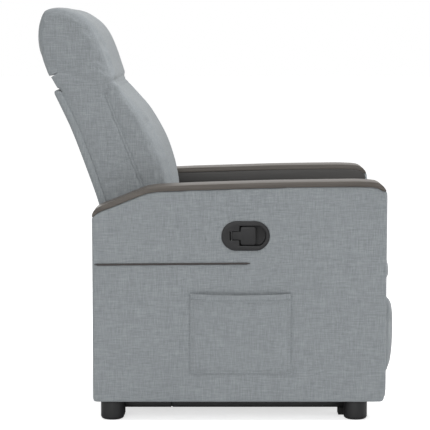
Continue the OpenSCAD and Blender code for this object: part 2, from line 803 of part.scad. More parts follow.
// The space between the outside back and the cushion's side seam
module back_side_shape(low_z) {
    high = at_back(-50, 469);
    front = concat([high], open_curve(seam_line, 4),
        [recline_pivot + [seat_gap_x, 110], recline_pivot + [seat_gap_x, 14]]);
    intersection() {
        polygon(concat(inner_rear, moved(front, [-near, 0])));
        translate([recline_x - 300, low_z]) square([600, high[1] - low_z]);
    }
}

module back_side_boards() {
    color(beech) both_sides() slab(back_board_y) back_side_shape(board_bottom_z);
}

module back_side_pads() {
    color(fabric) both_sides() slab([back_board_y[1] + near, back_half]) back_side_shape(pad_low_z);
}

module back_cross_boards() {
    y = [-back_board_y[0], back_board_y[0]];
    color(beech) slab(y) {
        translate(recline_pivot + [outside_back_t - 36, 50]) rotate(5) square([board_t, 60]);
        translate(at_back(-133, 380) + [outside_back_t, 0]) rotate(25) square([board_t, 60]);
    }
}

module headboard() {
    color(beech) slab([-back_board_y[0], back_board_y[0]]) headboard_shape(0);
}

module headboard_shape(extra) {
    translate(at_back(-163, 444) + [outside_back_t, 0]) rotate(13) translate([-extra, 0])
        square([board_t + 2 * extra, 180 + extra]);
}

strap_w = 50;

module back_webbing() {
    // Straps that follow the boards' front edges, seen from the side as thin strips
    x_at = [for (p = reversed(open_curve(seam_line, 4))) [p[1], p[0]]];
    color(black) slab([-back_board_y[0], back_board_y[0]])
        for (z = [recline_z + 170:66:at_back(0, 400)[1]]) let (b = lookup(z, x_at),
            t = lookup(z + strap_w, x_at))
            polygon([[b - 4, z], [b - 2, z], [t - 2, z + strap_w], [t - 4, z + strap_w]]);
}

module back_cushion() {
    rear = with_draw(moved(open_curve(seam_line, 4), [near, 0]), 0.5);
    color(fabric) cushion(concat(rear, open_curve(front_line, 2)), back_half);
}

module head_pillow() {
    color(fabric) difference() {
        cushion(closed_curve(pillow_line, 2), back_half);
        slab([-back_board_y[0] - near, back_board_y[0] + near]) headboard_shape(near);
    }
}

bracket_r = 12;
recline_pin_r = 6;

module back_hinge_brackets() {
    color(black) both_sides() difference() {
        slab(back_bracket_y) bar(recline_pivot, recline_pivot + [-8, 82], bracket_r);
        pin(recline_pivot, recline_pin_r + pin_fit, [0, half_w]);
    }
}

module seat_hinge_brackets() {
    color(black) both_sides() {
        difference() {
            slab(seat_bracket_y) {
                circle_at(recline_pivot, bracket_r);
                translate([recline_x - bracket_r, rail_top_z])
                    square([2 * bracket_r, recline_z - rail_top_z]);
            }
            pin(recline_pivot, recline_pin_r, [0, half_w]);
        }
        block([recline_x - bracket_r, recline_x + bracket_r], [seat_bracket_y[1], panel_inner - 1],
            [rail_top_z, rail_top_z + 4]);
    }
}

module recline_pins() {
    color(steel) both_sides() {
        pin(recline_pivot, recline_pin_r, [back_bracket_y[0] - 1, seat_bracket_y[1]]);
        pin(recline_pivot, recline_pin_r + 3, [seat_bracket_y[1], seat_bracket_y[1] + 3]);
    }
}

// ---------- footrest ----------

foot_bar_r = 8;
foot_bore = foot_pin_r + pin_fit;
foot_play = foot_pin_r + play;

module footrest_rear_arms() {
    color(black) both_sides() difference() {
        slab(rear_arm_y) bar(rear_arm_pivot, knee_pivot, 9);
        pin(rear_arm_pivot, foot_bore, [0, half_w]);
        pin(knee_pivot, foot_pin_r, [0, half_w]);
        pin(rear_link_pivot, foot_pin_r, [0, half_w]);
    }
}

foot_tube_r = 8;

module footrest_cross_tube() {
    at = rear_arm_pivot + 0.42 * (knee_pivot - rear_arm_pivot);
    color(black) difference() {
        pin(at, foot_tube_r, [-rear_arm_y[0], rear_arm_y[0]]);
        pin(at, foot_tube_r - 1.5, [-rear_arm_y[0] - 1, rear_arm_y[0] + 1]);
    }
}

module rear_arm_pins() {
    color(steel) both_sides() {
        pin(knee_pivot, foot_pin_r, [front_arm_y[0], rear_arm_y[1]]);
        pin(rear_link_pivot, foot_pin_r, [panel_link_y[0], rear_arm_y[1]]);
    }
}

module footrest_front_arms() {
    color(black) both_sides() difference() {
        slab(front_arm_y) {
            bar(knee_pivot, panel_pivot, foot_bar_r);
            bar(knee_pivot, heel_pivot, foot_bar_r);
        }
        pin(knee_pivot, foot_bore, [0, half_w]);
        pin(panel_pivot, foot_bore, [0, half_w]);
        pin(heel_pivot, foot_pin_r, [0, half_w]);
    }
}

module front_arm_pins() {
    color(steel) both_sides() {
        pin(heel_pivot, foot_pin_r, [front_arm_y[0], control_link_y[1]]);
        pin(heel_pivot, foot_pin_r + 3, [front_arm_y[1], control_link_y[0] - bar_gap / 2]);
    }
}

module footrest_control_links() {
    color(black) both_sides() link(control_pivot, heel_pivot, foot_bar_r + 1,
        [foot_bore, foot_play], control_link_y);
}

module footrest_panel_links() {
    color(black) both_sides() link(rear_link_pivot, front_link_pivot, foot_bar_r + 0.5,
        [foot_bore, foot_play], panel_link_y);
}

pad_t = 43;
foot_board_x = [pad_front_x - pad_t - foot_board_t, pad_front_x - pad_t];
pad_half = panel_inner - pad_gap;
board_inset = 8;

module footrest_board() {
    color(beech) block(foot_board_x, [-pad_half + board_inset, pad_half - board_inset],
        [pad_bottom_z + 6, pad_top_z - 6]);
}

// Side view of the footrest pad, flat against its board and crowned in front, with the draws
pad_outline = [[foot_board_x[1] + 1.5, pad_bottom_z + 12, 2], [foot_board_x[1] + 10, pad_bottom_z, 4],
    [pad_front_x - 14, pad_bottom_z + 4, 7], [pad_front_x - 7, pad_bottom_z + 24, 10],
    [pad_front_x - 1.5, pad_bottom_z + 70, 12], [pad_front_x, (pad_bottom_z + pad_top_z) / 2 + 20, 12],
    [pad_front_x - 2.5, pad_top_z - 34, 11], [pad_front_x - 8, pad_top_z - 13, 9],
    [pad_front_x - 21, pad_top_z - 2, 6], [foot_board_x[1] + 9, pad_top_z, 4],
    [foot_board_x[1] + 1.5, pad_top_z - 12, 2], [foot_board_x[1] + near, pad_top_z - 70, 2],
    [foot_board_x[1] + near, pad_bottom_z + 70, 2]];

module footrest_pad() {
    color(fabric) cushion(closed_curve(pad_outline, 3), pad_half);
}

module footrest_brackets() {
    x = foot_board_x[0];
    color(black) both_sides() {
        difference() {
            slab(rear_arm_y) {
                bar(panel_pivot, front_link_pivot, 9);
                translate([front_link_pivot[0], panel_pivot[1] - 9 + hair])
                    square([x - front_link_pivot[0],
                        front_link_pivot[1] - panel_pivot[1] + 18 - 2 * hair]);
            }
            pin(panel_pivot, foot_pin_r, [0, half_w]);
            pin(front_link_pivot, foot_pin_r, [0, half_w]);
        }
        block([x - 4, x], [rear_arm_y[1], rear_arm_y[1] + 22],
            [panel_pivot[1] - 9, front_link_pivot[1] + 9]);
    }
}

module panel_pins() {
    color(steel) both_sides() {
        pin(panel_pivot, foot_pin_r, [front_arm_y[0], rear_arm_y[1]]);
        pin(front_link_pivot, foot_pin_r, [panel_link_y[0], rear_arm_y[1]]);
    }
}

// ---------- actuator ----------

act_d = rod_pivot - tail_pivot;
act_len = norm(act_d);
tube_end = act_len - 35;
gear_x = 38;
gear_r = 24;
motor_off = 44;

// Lays a piece drawn along +X, with its motor side towards +Z, on the actuator's axis
module on_actuator() {
    translate([tail_pivot[0], 0, tail_pivot[1]]) rotate([0, -atan2(act_d[1], act_d[0]), 0]) children();
}

module along(r, from, to, off = 0) {
    translate([from, 0, off]) rotate([0, 90, 0]) cylinder(r = r, h = to - from);
}

module gear_housing() {
    color(black) on_actuator() difference() {
        union() {
            slab([-23, 23]) bar([gear_x, 0], [gear_x, motor_off], gear_r);
            slab([-tail_lug_half, tail_lug_half]) bar([0, 0], [gear_x - 10, 0], 11);
            translate([gear_x, 0, motor_off + 6]) rotate([-90, 0, 0]) cylinder(r = 6, h = 31);
        }
        pin([0, 0], tail_pin_r + pin_fit, [-half_w, half_w]);
    }
}

module motor_can() {
    x0 = gear_x + gear_r;
    color(steel) on_actuator() {
        along(motor_d / 2, x0, x0 + 88, motor_off + 3);
        along(motor_d / 2 - 4, x0 + 88, x0 + 94, motor_off + 3);
        along(5, x0 + 94, x0 + 99, motor_off + 3);
    }
}

module actuator_tube() {
    x0 = gear_x + gear_r;
    color(steel) on_actuator() difference() {
        along(outer_tube_d / 2, x0, tube_end);
        along(rod_d / 2 + pin_fit, x0 + 6, tube_end + 1);
    }
}

fork_back = 24;

module actuator_rod() {
    color(steel) on_actuator() along(rod_d / 2, tube_end - stroke - 45, act_len - fork_back);
}

module rod_fork() {
    color(black) on_actuator() difference() {
        union() {
            slab([-14, 14]) bar([act_len - 4, 0], [act_len, 0], 11.5);
            translate([act_len - fork_back, -14, -11.5]) cube([fork_back - 4, 28, 23]);
        }
        slab([-fork_slot / 2, fork_slot / 2]) translate([act_len - 15, -20]) square([40, 40]);
        pin([act_len, 0], tail_pin_r, [-half_w, half_w]);
    }
}

module fork_pin() {
    color(steel) on_actuator() {
        pin([act_len, 0], tail_pin_r, [-16, 16]);
        both_sides() pin([act_len, 0], tail_pin_r + 2.5, [14, 16]);
    }
}

base_side_rails();
base_cross_tubes();
base_pads();
base_pivot_plates();
base_pivot_pins();
actuator_bracket();
actuator_tail_pin();
lower_lift_arms();
lift_arm_tube();
upper_lift_arms();
carriage_plates();
carriage_pins();
carriage_tubes();
actuator_lug();
right_side_panel();
left_side_panel();
right_arm_cap();
left_arm_cap();
arm_inner_trims();
side_piping();
side_pocket();
round_feet();
foot_bolts();
seat_side_rails();
seat_end_rails();
seat_springs();
spring_clips();
seat_cushion();
rear_skirt();
latch_housing();
latch_pin();
latch_lever();
seat_hinge_brackets();
recline_pins();
back_side_boards();
back_cross_boards();
headboard();
back_webbing();
back_side_pads();
outside_back();
back_cushion();
head_pillow();
back_hinge_brackets();
footrest_rear_arms();
footrest_cross_tube();
rear_arm_pins();
footrest_front_arms();
front_arm_pins();
footrest_control_links();
footrest_panel_links();
footrest_board();
footrest_pad();
footrest_brackets();
panel_pins();
gear_housing();
motor_can();
actuator_tube();
actuator_rod();
rod_fork();
fork_pin();
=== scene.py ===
"""Dresses the packed lift recliner chair: upholstery, wood-look caps, moulded plastic and steel."""

import json
import math

import bmesh
import bpy
import numpy as np
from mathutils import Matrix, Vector, noise
from mathutils.bvhtree import BVHTree


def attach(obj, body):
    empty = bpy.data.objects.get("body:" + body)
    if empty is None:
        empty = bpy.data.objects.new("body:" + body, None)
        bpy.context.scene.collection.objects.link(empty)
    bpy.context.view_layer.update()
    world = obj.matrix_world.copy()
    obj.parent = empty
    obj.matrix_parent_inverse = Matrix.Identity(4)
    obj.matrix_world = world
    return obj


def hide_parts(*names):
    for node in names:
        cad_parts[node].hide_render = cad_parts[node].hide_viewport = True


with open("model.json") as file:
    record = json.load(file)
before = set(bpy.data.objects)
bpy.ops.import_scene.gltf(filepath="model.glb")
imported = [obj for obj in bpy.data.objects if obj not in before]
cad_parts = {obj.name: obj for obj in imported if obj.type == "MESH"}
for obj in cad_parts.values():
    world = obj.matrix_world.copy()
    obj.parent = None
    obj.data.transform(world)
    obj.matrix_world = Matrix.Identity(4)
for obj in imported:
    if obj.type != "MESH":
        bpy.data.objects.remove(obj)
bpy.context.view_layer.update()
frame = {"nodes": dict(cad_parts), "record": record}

bl_info = {
    "name": "Lift recliner chair",
    "version": (1, 0, 0),
    "blender": (4, 5, 0),
    "location": "3D View > Sidebar > Recliner",
    "description": "Builds the upholstery, arm caps, latch, metalwork and stage of a lift recliner",
    "category": "Add Mesh",
}

MM = 0.001
SIDES = {"right": -1, "left": 1}          # the sitter's right is at negative Y


def linear(code):
    """Turns an sRGB hex colour into a linear one with alpha."""
    channels = [int(code[i:i + 2], 16) / 255 for i in (1, 3, 5)]
    lit = [c / 12.92 if c <= 0.04045 else ((c + 0.055) / 1.055) ** 2.4 for c in channels]
    return (*lit, 1.0)


def mm(*values):
    """A point given in millimetres, in metres."""
    return Vector([v * MM for v in values])


# ---------- sizes and colours ----------

def colour(name, code, about):
    """A colour that the user may change, given as sRGB hex."""
    return bpy.props.FloatVectorProperty(name=name, subtype="COLOR", size=4, min=0, max=1,
                                         default=linear(code), description=about)


def length(name, millimetres, about):
    """A length that the user may change, given in millimetres."""
    return bpy.props.FloatProperty(name=name, unit="LENGTH", min=0, precision=4,
                                   default=millimetres * MM, description=about)


class FabricLook(bpy.types.PropertyGroup):
    """The woven cover."""
    shade: colour("Cover", "#8E9396", "Middle tone of the woven cover")
    pale: colour("Pale thread", "#9FA4A7", "Tone of the palest slubs")
    deep: colour("Deep thread", "#7C8184", "Tone between the threads")
    thread: colour("Sewing thread", "#787D80", "Tone of the seams' thread")
    slub_length: length("Slub length", 26, "Length of a thick place in a thread")
    slub_width: length("Slub width", 1.9, "Width of a thick place in a thread")
    weave: length("Weave", 1.3, "Spacing of the threads in the weave's relief")


class CapLook(bpy.types.PropertyGroup):
    """The arms' wood-look caps and trims; the trims' darker tone is painted shade."""
    shade: colour("Cap", "#5A5550", "Middle tone of the printed grain")
    deep: colour("Deep grain", "#4B4642", "Tone of the grain's dark lines")
    # The trim tone is the cap foil darkened: painted shade for the arms' inner sides.
    trim: colour("Trim", "#302E2C", "Tone of the trims on the arms' inner sides")
    edge: length("Edge", 1.5, "Radius of the caps' edges")


class HardLook(bpy.types.PropertyGroup):
    """Plastic, steel and frame wood."""
    plastic: colour("Plastic", "#252526", "Moulded latch, lever and feet")
    powder: colour("Powder coat", "#252526", "Coated steel of the lift and the footrest")
    zinc: colour("Zinc", "#B4B7BA", "Plated pins and bolts")
    beech: colour("Beech", "#C9A77C", "Boards of the frame")
    welt: colour("Welt", "#2F2A28", "Piping on the side panels")


class CushionShape(bpy.types.PropertyGroup):
    """How the stuffed pieces are filled."""
    voxel: length("Mesh size", 7, "Spacing of the even mesh that the filling works on")
    pressure: bpy.props.FloatProperty(name="Pressure", default=4.0, min=0,
                                      description="Push of the filling on the cover")
    swell: length("Swell", 7, "How far the filling may move the cover")


class StitchShape(bpy.types.PropertyGroup):
    """The seams' stitches."""
    pitch: length("Pitch", 5.6, "Distance from stitch to stitch")
    reach: length("Length", 4.3, "Length of a stitch on the surface")
    thread: length("Thread", 0.9, "Thickness of the thread")


class StageSetup(bpy.types.PropertyGroup):
    """Camera and light."""
    distance: length("Distance", 4835, "Distance of the camera from the chair's middle plane")
    height: length("Height", 957, "Height of the camera above the floor")
    pitch: bpy.props.FloatProperty(name="Pitch", subtype="ANGLE", default=math.radians(5.56),
                                   description="How far the camera looks down")
    lens: bpy.props.FloatProperty(name="Lens", default=152.15, min=1,
                                  description="Focal length on a 36 mm sensor")
    fill: bpy.props.FloatProperty(name="Fill", default=0.46, min=0,
                                  description="Strength of the even light from all round")
    key: bpy.props.FloatProperty(name="Key", default=112, min=0,
                                 description="Power of the lamp above the seat, in watts")


LOOKS = {"recliner_fabric": FabricLook, "recliner_caps": CapLook, "recliner_hard": HardLook,
         "recliner_cushions": CushionShape, "recliner_stitches": StitchShape,
         "recliner_stage": StageSetup}


# ---------- materials ----------

def add_node(tree, kind, inputs=None, links=None, **settings):
    """Adds a node, with its settings, its sockets' values and the outputs linked to its sockets."""
    node = tree.nodes.new(kind)
    for name, value in settings.items():
        setattr(node, name, value)
    for socket, value in (inputs or {}).items():
        node.inputs[socket].default_value = value
    for socket, output in (links or {}).items():
        tree.links.new(output, node.inputs[socket])
    return node


def blank_material(name, tone):
    """A material with an empty node tree, and that tree."""
    material = bpy.data.materials.new(name)
    material.diffuse_color = tone
    material.use_nodes = True
    material.node_tree.nodes.clear()
    return material, material.node_tree


def surface(tree, colour_from=None, rough_from=None, bump_from=None, relief=1 * MM, **sockets):
    """Ends a material: a Principled shader with the given sockets, colour, roughness and relief."""
    links = {}
    if colour_from:
        links["Base Color"] = colour_from
    if rough_from:
        links["Roughness"] = rough_from
    if bump_from:
        bump = add_node(tree, "ShaderNodeBump", {"Strength": 1.0, "Distance": relief},
                        {"Height": bump_from})
        links["Normal"] = bump.outputs["Normal"]
    named = {key.replace("_", " "): value for key, value in sockets.items()}
    shader = add_node(tree, "ShaderNodeBsdfPrincipled", named, links)
    add_node(tree, "ShaderNodeOutputMaterial", links={"Surface": shader.outputs["BSDF"]})


def thread_field(tree, coords, along, across, detail):
    """A woven pattern: threads along the two axes that lie in the surface, whichever way it faces.
    It runs from about -0.5 to 0.5."""
    facing = add_node(tree, "ShaderNodeVectorMath", links={0: coords.outputs["Normal"]},
                      operation="ABSOLUTE")
    share = add_node(tree, "ShaderNodeSeparateXYZ", links={0: facing.outputs[0]})
    total = None
    for axis in range(3):
        stretch = [1 / across] * 3
        stretch[axis] = 1 / along
        place = add_node(tree, "ShaderNodeMapping",
                         {"Scale": stretch, "Location": (3.7 * axis, 5.1 * axis, 1.9 * axis)},
                         {"Vector": coords.outputs["Object"]})
        threads = add_node(tree, "ShaderNodeTexNoise",
                           {"Scale": 1.0, "Detail": detail, "Roughness": 0.6},
                           {"Vector": place.outputs[0]})
        centred = add_node(tree, "ShaderNodeMath", {1: 0.5}, {0: threads.outputs["Fac"]},
                           operation="SUBTRACT")
        lying = add_node(tree, "ShaderNodeMath", {0: 1.0}, {1: share.outputs[axis]},
                         operation="SUBTRACT")
        part = add_node(tree, "ShaderNodeMath",
                        links={0: centred.outputs[0], 1: lying.outputs[0]}, operation="MULTIPLY")
        total = part if total is None else add_node(
            tree, "ShaderNodeMath", links={0: total.outputs[0], 1: part.outputs[0]},
            operation="ADD")
    return total


def three_tones(tree, source, tones, spread):
    """Three colours over a field that runs evenly round 0, the outer ones at -spread and spread."""
    ramp = add_node(tree, "ShaderNodeValToRGB",
                    links={0: add_node(tree, "ShaderNodeMapRange",
                                       {"From Min": -spread, "From Max": spread},
                                       {"Value": source}).outputs[0]})
    ends = ramp.color_ramp.elements
    ends[0].color, ends[1].color = tones[0], tones[2]
    ends.new(0.5).color = tones[1]
    return ramp.outputs["Color"]


def make_linen():
    """Linen-look polyester, plain woven from slubbed yarn: matt, with short pale and dark dashes
    both ways and a slight bloom at grazing angles. The slubs and the weave are drawn about twice
    as coarse as real ones, so that they show."""
    look = bpy.context.scene.recliner_fabric
    material, tree = blank_material("linen_look_polyester_weave", look.shade)
    coords = add_node(tree, "ShaderNodeTexCoord")
    slubs = thread_field(tree, coords, look.slub_length, look.slub_width, 2.0)
    weave = thread_field(tree, coords, look.weave * 5, look.weave, 1.0)
    cloud = add_node(tree, "ShaderNodeTexNoise", {"Scale": 5.0, "Detail": 2.0},
                     {"Vector": coords.outputs["Object"]})
    soft = add_node(tree, "ShaderNodeMath", {1: 0.1, 2: -0.05}, {0: cloud.outputs["Fac"]},
                    operation="MULTIPLY_ADD")
    toned = add_node(tree, "ShaderNodeMath", links={0: slubs.outputs[0], 1: soft.outputs[0]},
                     operation="ADD")
    tone = three_tones(tree, toned.outputs[0], (look.deep, look.shade, look.pale), 0.42)
    relief = add_node(tree, "ShaderNodeMath", {1: 0.5},
                      {0: slubs.outputs[0], 2: weave.outputs[0]}, operation="MULTIPLY_ADD")
    surface(tree, tone, bump_from=relief.outputs[0], relief=0.9 * MM, Roughness=0.88,
            Specular_IOR_Level=0.25, Sheen_Weight=0.22, Sheen_Roughness=0.45)
    return material


def make_thread():
    """Bonded polyester sewing thread: smooth, twisted, a little glossier than the cover."""
    look = bpy.context.scene.recliner_fabric
    material, tree = blank_material("bonded_polyester_thread", look.thread)
    coords = add_node(tree, "ShaderNodeTexCoord")
    twist = add_node(tree, "ShaderNodeTexNoise", {"Scale": 900.0, "Detail": 1.0},
                     {"Vector": coords.outputs["Object"]})
    centred = add_node(tree, "ShaderNodeMath", {1: 0.5}, {0: twist.outputs["Fac"]},
                       operation="SUBTRACT")
    tone = three_tones(tree, centred.outputs[0], (look.deep, look.thread, look.pale), 0.5)
    surface(tree, tone, bump_from=twist.outputs["Fac"], relief=0.2 * MM, Roughness=0.6)
    return material


def grained(name, tones, along, across, roughness, relief, **sockets):
    """A material whose grain runs along X: dark pores and broader bands over a middle tone."""
    material, tree = blank_material(name, tones[1])
    coords = add_node(tree, "ShaderNodeTexCoord")
    place = add_node(tree, "ShaderNodeMapping",
                     {"Scale": (1 / along, 1 / across, 1 / across)},
                     {"Vector": coords.outputs["Object"]})
    pores = add_node(tree, "ShaderNodeTexNoise", {"Scale": 1.0, "Detail": 4.0, "Roughness": 0.62},
                     {"Vector": place.outputs[0]})
    bands = add_node(tree, "ShaderNodeTexNoise",
                     {"Scale": 0.12, "Detail": 2.0, "Distortion": 0.4},
                     {"Vector": place.outputs[0]})
    mixed = add_node(tree, "ShaderNodeMath", {1: 0.7}, {0: bands.outputs["Fac"],
                     2: pores.outputs["Fac"]}, operation="MULTIPLY_ADD")
    centred = add_node(tree, "ShaderNodeMath", {1: 0.85}, {0: mixed.outputs[0]},
                       operation="SUBTRACT")
    tone = three_tones(tree, centred.outputs[0], tones, 0.3)
    rough = add_node(tree, "ShaderNodeMapRange",
                     {"To Min": roughness + 0.06, "To Max": roughness - 0.06},
                     {"Value": pores.outputs["Fac"]})
    surface(tree, tone, rough.outputs[0], pores.outputs["Fac"], relief, **sockets)
    return material


def make_foil():
    """Wood-look foil on moulded board: satin, printed with a fine dark oak grain along the arm."""
    look = bpy.context.scene.recliner_caps
    return grained("wood_look_foil_on_board", (look.deep, look.shade, linear("#67625C")),
                   along=110 * MM, across=2.1 * MM, roughness=0.5, relief=0.1 * MM,
                   Specular_IOR_Level=0.3)


def make_trim():
    """The same foil on the thin trims of the arms' inner sides, darkened as painted shade for the
    shade that falls on those sides.
    """
    look = bpy.context.scene.recliner_caps
    # These three tones are the cap foil's grain darkened as painted shade.
    return grained("foil_with_painted_shade_on_thin_board", (linear("#292726"), look.trim,
                   linear("#383634")), along=110 * MM, across=2.1 * MM, roughness=0.5,
                   relief=0.1 * MM)


def make_beech():
    """Planed beech boards: pale, fine-grained, unfinished and so rather matt."""
    look = bpy.context.scene.recliner_hard
    return grained("planed_beech", (linear("#AD8A60"), look.beech, linear("#D9BC92")),
                   along=60 * MM, across=2 * MM, roughness=0.62, relief=0.2 * MM)


def speckled(name, tone, grit, relief, roughness, spread=0.12, **sockets):
    """A plain finish with a fine even relief, such as spark-eroded plastic or powder coat."""
    material, tree = blank_material(name, tone)
    coords = add_node(tree, "ShaderNodeTexCoord")
    grain = add_node(tree, "ShaderNodeTexNoise", {"Scale": 1 / grit, "Detail": 3.0},
                     {"Vector": coords.outputs["Object"]})
    wide = add_node(tree, "ShaderNodeTexNoise", {"Scale": 14.0, "Detail": 2.0},
                    {"Vector": coords.outputs["Object"]})
    centred = add_node(tree, "ShaderNodeMath", {1: 0.5}, {0: wide.outputs["Fac"]},
                       operation="SUBTRACT")
    darker = tuple(c * (1 - spread) for c in tone[:3]) + (1.0,)
    paler = tuple(min(c * (1 + spread), 1) for c in tone[:3]) + (1.0,)
    shade = three_tones(tree, centred.outputs[0], (darker, tone, paler), 0.3)
    rough = add_node(tree, "ShaderNodeMapRange",
                     {"To Min": roughness - 0.07, "To Max": roughness + 0.07},
                     {"Value": wide.outputs["Fac"]})
    surface(tree, shade, rough.outputs[0], grain.outputs["Fac"], relief, **sockets)
    return material


def make_plastic():
    """ABS, injection moulded in a spark-eroded tool: dark, fine-grained, with a soft gloss."""
    return speckled("spark_textured_black_abs", bpy.context.scene.recliner_hard.plastic,
                    grit=0.6 * MM, relief=0.08 * MM, roughness=0.42, Specular_IOR_Level=0.3)


def make_powder():
    """Epoxy powder coat on pressed steel: black, with the slight orange peel of the baked film."""
    return speckled("black_powder_coated_steel", bpy.context.scene.recliner_hard.powder,
                    grit=1.6 * MM, relief=0.06 * MM, roughness=0.38)


def make_zinc():
    """Zinc-plated steel pins and bolts: bright but cloudy, with fine handling marks."""
    return speckled("zinc_plated_steel", bpy.context.scene.recliner_hard.zinc,
                    grit=0.9 * MM, relief=0.03 * MM, roughness=0.34, spread=0.08, Metallic=1.0)


def make_chrome():
    """Hard-chromed, ground piston rod: mirror-bright with very fine grinding lines."""
    return speckled("hard_chromed_ground_rod", linear("#C9CBCE"), grit=0.4 * MM,
                    relief=0.01 * MM, roughness=0.12, spread=0.03, Metallic=1.0)


def make_webbing():
    """Elastic polypropylene webbing: black, with a coarse rib across its weave."""
    material, tree = blank_material("woven_elastic_webbing", linear("#1F1F21"))
    coords = add_node(tree, "ShaderNodeTexCoord")
    ribs = thread_field(tree, coords, 20 * MM, 1.6 * MM, 1.0)
    tone = three_tones(tree, ribs.outputs[0], (linear("#141415"), linear("#222224"),
                       linear("#36363A")), 0.4)
    surface(tree, tone, bump_from=ribs.outputs[0], relief=1 * MM, Roughness=0.8)
    return material


def make_rubber():
    """Moulded rubber of the base's floor pads: black, matt, faintly dusty."""
    return speckled("moulded_black_rubber", linear("#1E1E1E"), grit=1.2 * MM,
                    relief=0.1 * MM, roughness=0.78)


def make_welt():
    """Dark coated-cloth welt, sewn over a cord: smooth, with a low gloss."""
    return speckled("coated_cloth_welt", bpy.context.scene.recliner_hard.welt,
                    grit=1.2 * MM, relief=0.1 * MM, roughness=0.55)


MAKERS = {"linen": make_linen, "thread": make_thread, "foil": make_foil, "trim": make_trim,
          "beech": make_beech, "plastic": make_plastic, "powder": make_powder,
          "zinc": make_zinc, "chrome": make_chrome, "webbing": make_webbing,
          "rubber": make_rubber, "welt": make_welt}
SLOT_FINISH = {"linen_fabric": "linen", "wood_look": "foil", "black_plastic": "plastic",
               "black_steel": "powder", "bright_steel": "zinc", "chrome_rod": "chrome",
               "frame_wood": "beech", "webbing": "webbing", "rubber": "rubber"}
made = {}


def finish_of(name):
    """The material of that name, made when it is first asked for."""
    if name not in made:
        made[name] = MAKERS[name]()
    return made[name]


# ---------- meshes ----------

def piece_from(name, points, faces, finish, smooth=40):
    """A mesh object from points in metres, shaded smooth but for edges sharper than the angle."""
    mesh = bpy.data.meshes.new(name)
    mesh.from_pydata([tuple(p) for p in points], [], faces)
    mesh.validate()
    return piece_of(name, mesh, finish, smooth)


def piece_of(name, mesh, finish, smooth=40):
    """A mesh object in the scene, in one finish."""
    piece = bpy.data.objects.new(name, mesh)
    bpy.context.scene.collection.objects.link(piece)
    mesh.materials.clear()
    mesh.materials.append(finish_of(finish))
    shade(mesh, smooth)
    return piece


def shade(mesh, angle):
    """Shades a mesh smooth but for edges sharper than the angle, in degrees."""
    mesh.polygons.foreach_set("use_smooth", [True] * len(mesh.polygons))
    mesh.set_sharp_from_angle(angle=math.radians(angle))
    mesh.update()


def settle(piece):
    """Applies a piece's modifiers to its mesh."""
    graph = bpy.context.evaluated_depsgraph_get()
    finished = bpy.data.meshes.new_from_object(piece.evaluated_get(graph))
    old = piece.data
    piece.modifiers.clear()
    piece.data = finished
    bpy.data.meshes.remove(old)
    return piece


def modified(piece, kind, **settings):
    """Adds a modifier with its settings and applies it."""
    modifier = piece.modifiers.new(kind.lower(), kind)
    for name, value in settings.items():
        setattr(modifier, name, value)
    return settle(piece)


def points_of(mesh):
    """A mesh's points in metres, one row each."""
    found = np.empty(len(mesh.vertices) * 3)
    mesh.vertices.foreach_get("co", found)
    return found.reshape(-1, 3)


def normals_of(mesh):
    """The surface's direction at each of a mesh's points."""
    found = np.empty(len(mesh.vertices) * 3)
    mesh.vertices.foreach_get("normal", found)
    return found.reshape(-1, 3)


def set_points(mesh, points):
    """Moves a mesh's points to new places, in metres."""
    mesh.vertices.foreach_set("co", np.asarray(points, float).ravel())
    mesh.update()


def bell(away, width):
    """1 on a line, falling smoothly to nothing at about twice the width from it."""
    return np.exp(-(away / width) ** 2)


def waviness(points, scale):
    """Smooth noise from about -1 to 1 at each point, in waves 1 / scale metres long."""
    return np.array([noise.noise(Vector(p) * scale) for p in points])


def merged_copy(node):
    """A copy of a CAD node's mesh with its corners merged and its flat faces made whole."""
    mesh = frame["nodes"][node].data.copy()
    work = bmesh.new()
    work.from_mesh(mesh)
    bmesh.ops.remove_doubles(work, verts=work.verts, dist=2e-6)
    bmesh.ops.dissolve_limit(work, angle_limit=math.radians(0.6), verts=work.verts,
                             edges=work.edges)
    work.to_mesh(mesh)
    work.free()
    return mesh


def soften(node, name, edge, finish, slot, segments=2, smooth=35):
    """Stands a copy with rounded edges in for a CAD node, on the same body."""
    piece = piece_of(name, merged_copy(node), finish)
    modified(piece, "BEVEL", width=edge, segments=segments, limit_method="ANGLE",
             angle_limit=math.radians(40), use_clamp_overlap=False, harden_normals=False)
    shade(piece.data, smooth)
    return stand_in(piece, body_of_node(node), slot, node)


def body_of_node(node):
    """The name of the body that a CAD node belongs to."""
    groups = frame["record"]["behaviour"]["bodies"]
    return next(body for body, nodes in groups.items() if node in nodes)


def stand_in(piece, body, slot, *nodes):
    """Rides a finished piece on its body and hides the nodes that it stands for. Its slot is not
    used.
    """
    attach(piece, body)
    if nodes:
        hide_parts(*nodes)
    return piece


def smooth_line(points, steps, closed=False):
    """A smooth curve through points of any number of columns, with that many steps each."""
    p = np.asarray(points, float)
    count = len(p)
    index = (lambda i: i % count) if closed else (lambda i: min(max(i, 0), count - 1))
    found = []
    for i in range(count if closed else count - 1):
        a, b, c, d = (p[index(i + k)] for k in (-1, 0, 1, 2))
        for t in np.arange(steps) / steps:
            found.append(0.5 * (2 * b + (c - a) * t + (2 * a - 5 * b + 4 * c - d) * t ** 2
                                + (3 * b - a - 3 * c + d) * t ** 3))
    if not closed:
        found.append(p[-1])
    return np.array(found)


def drawn_in(outline, share):
    """The outline's points moved inwards by a share of each point's draw, its third column."""
    ahead, behind = np.roll(outline, -1, 0), np.roll(outline, 1, 0)
    along = (ahead - behind)[:, :2]
    along /= np.linalg.norm(along, axis=1)[:, None]
    inward = np.stack([-along[:, 1], along[:, 0]], 1)
    return outline[:, :2] + inward * (outline[:, 2] * share)[:, None]


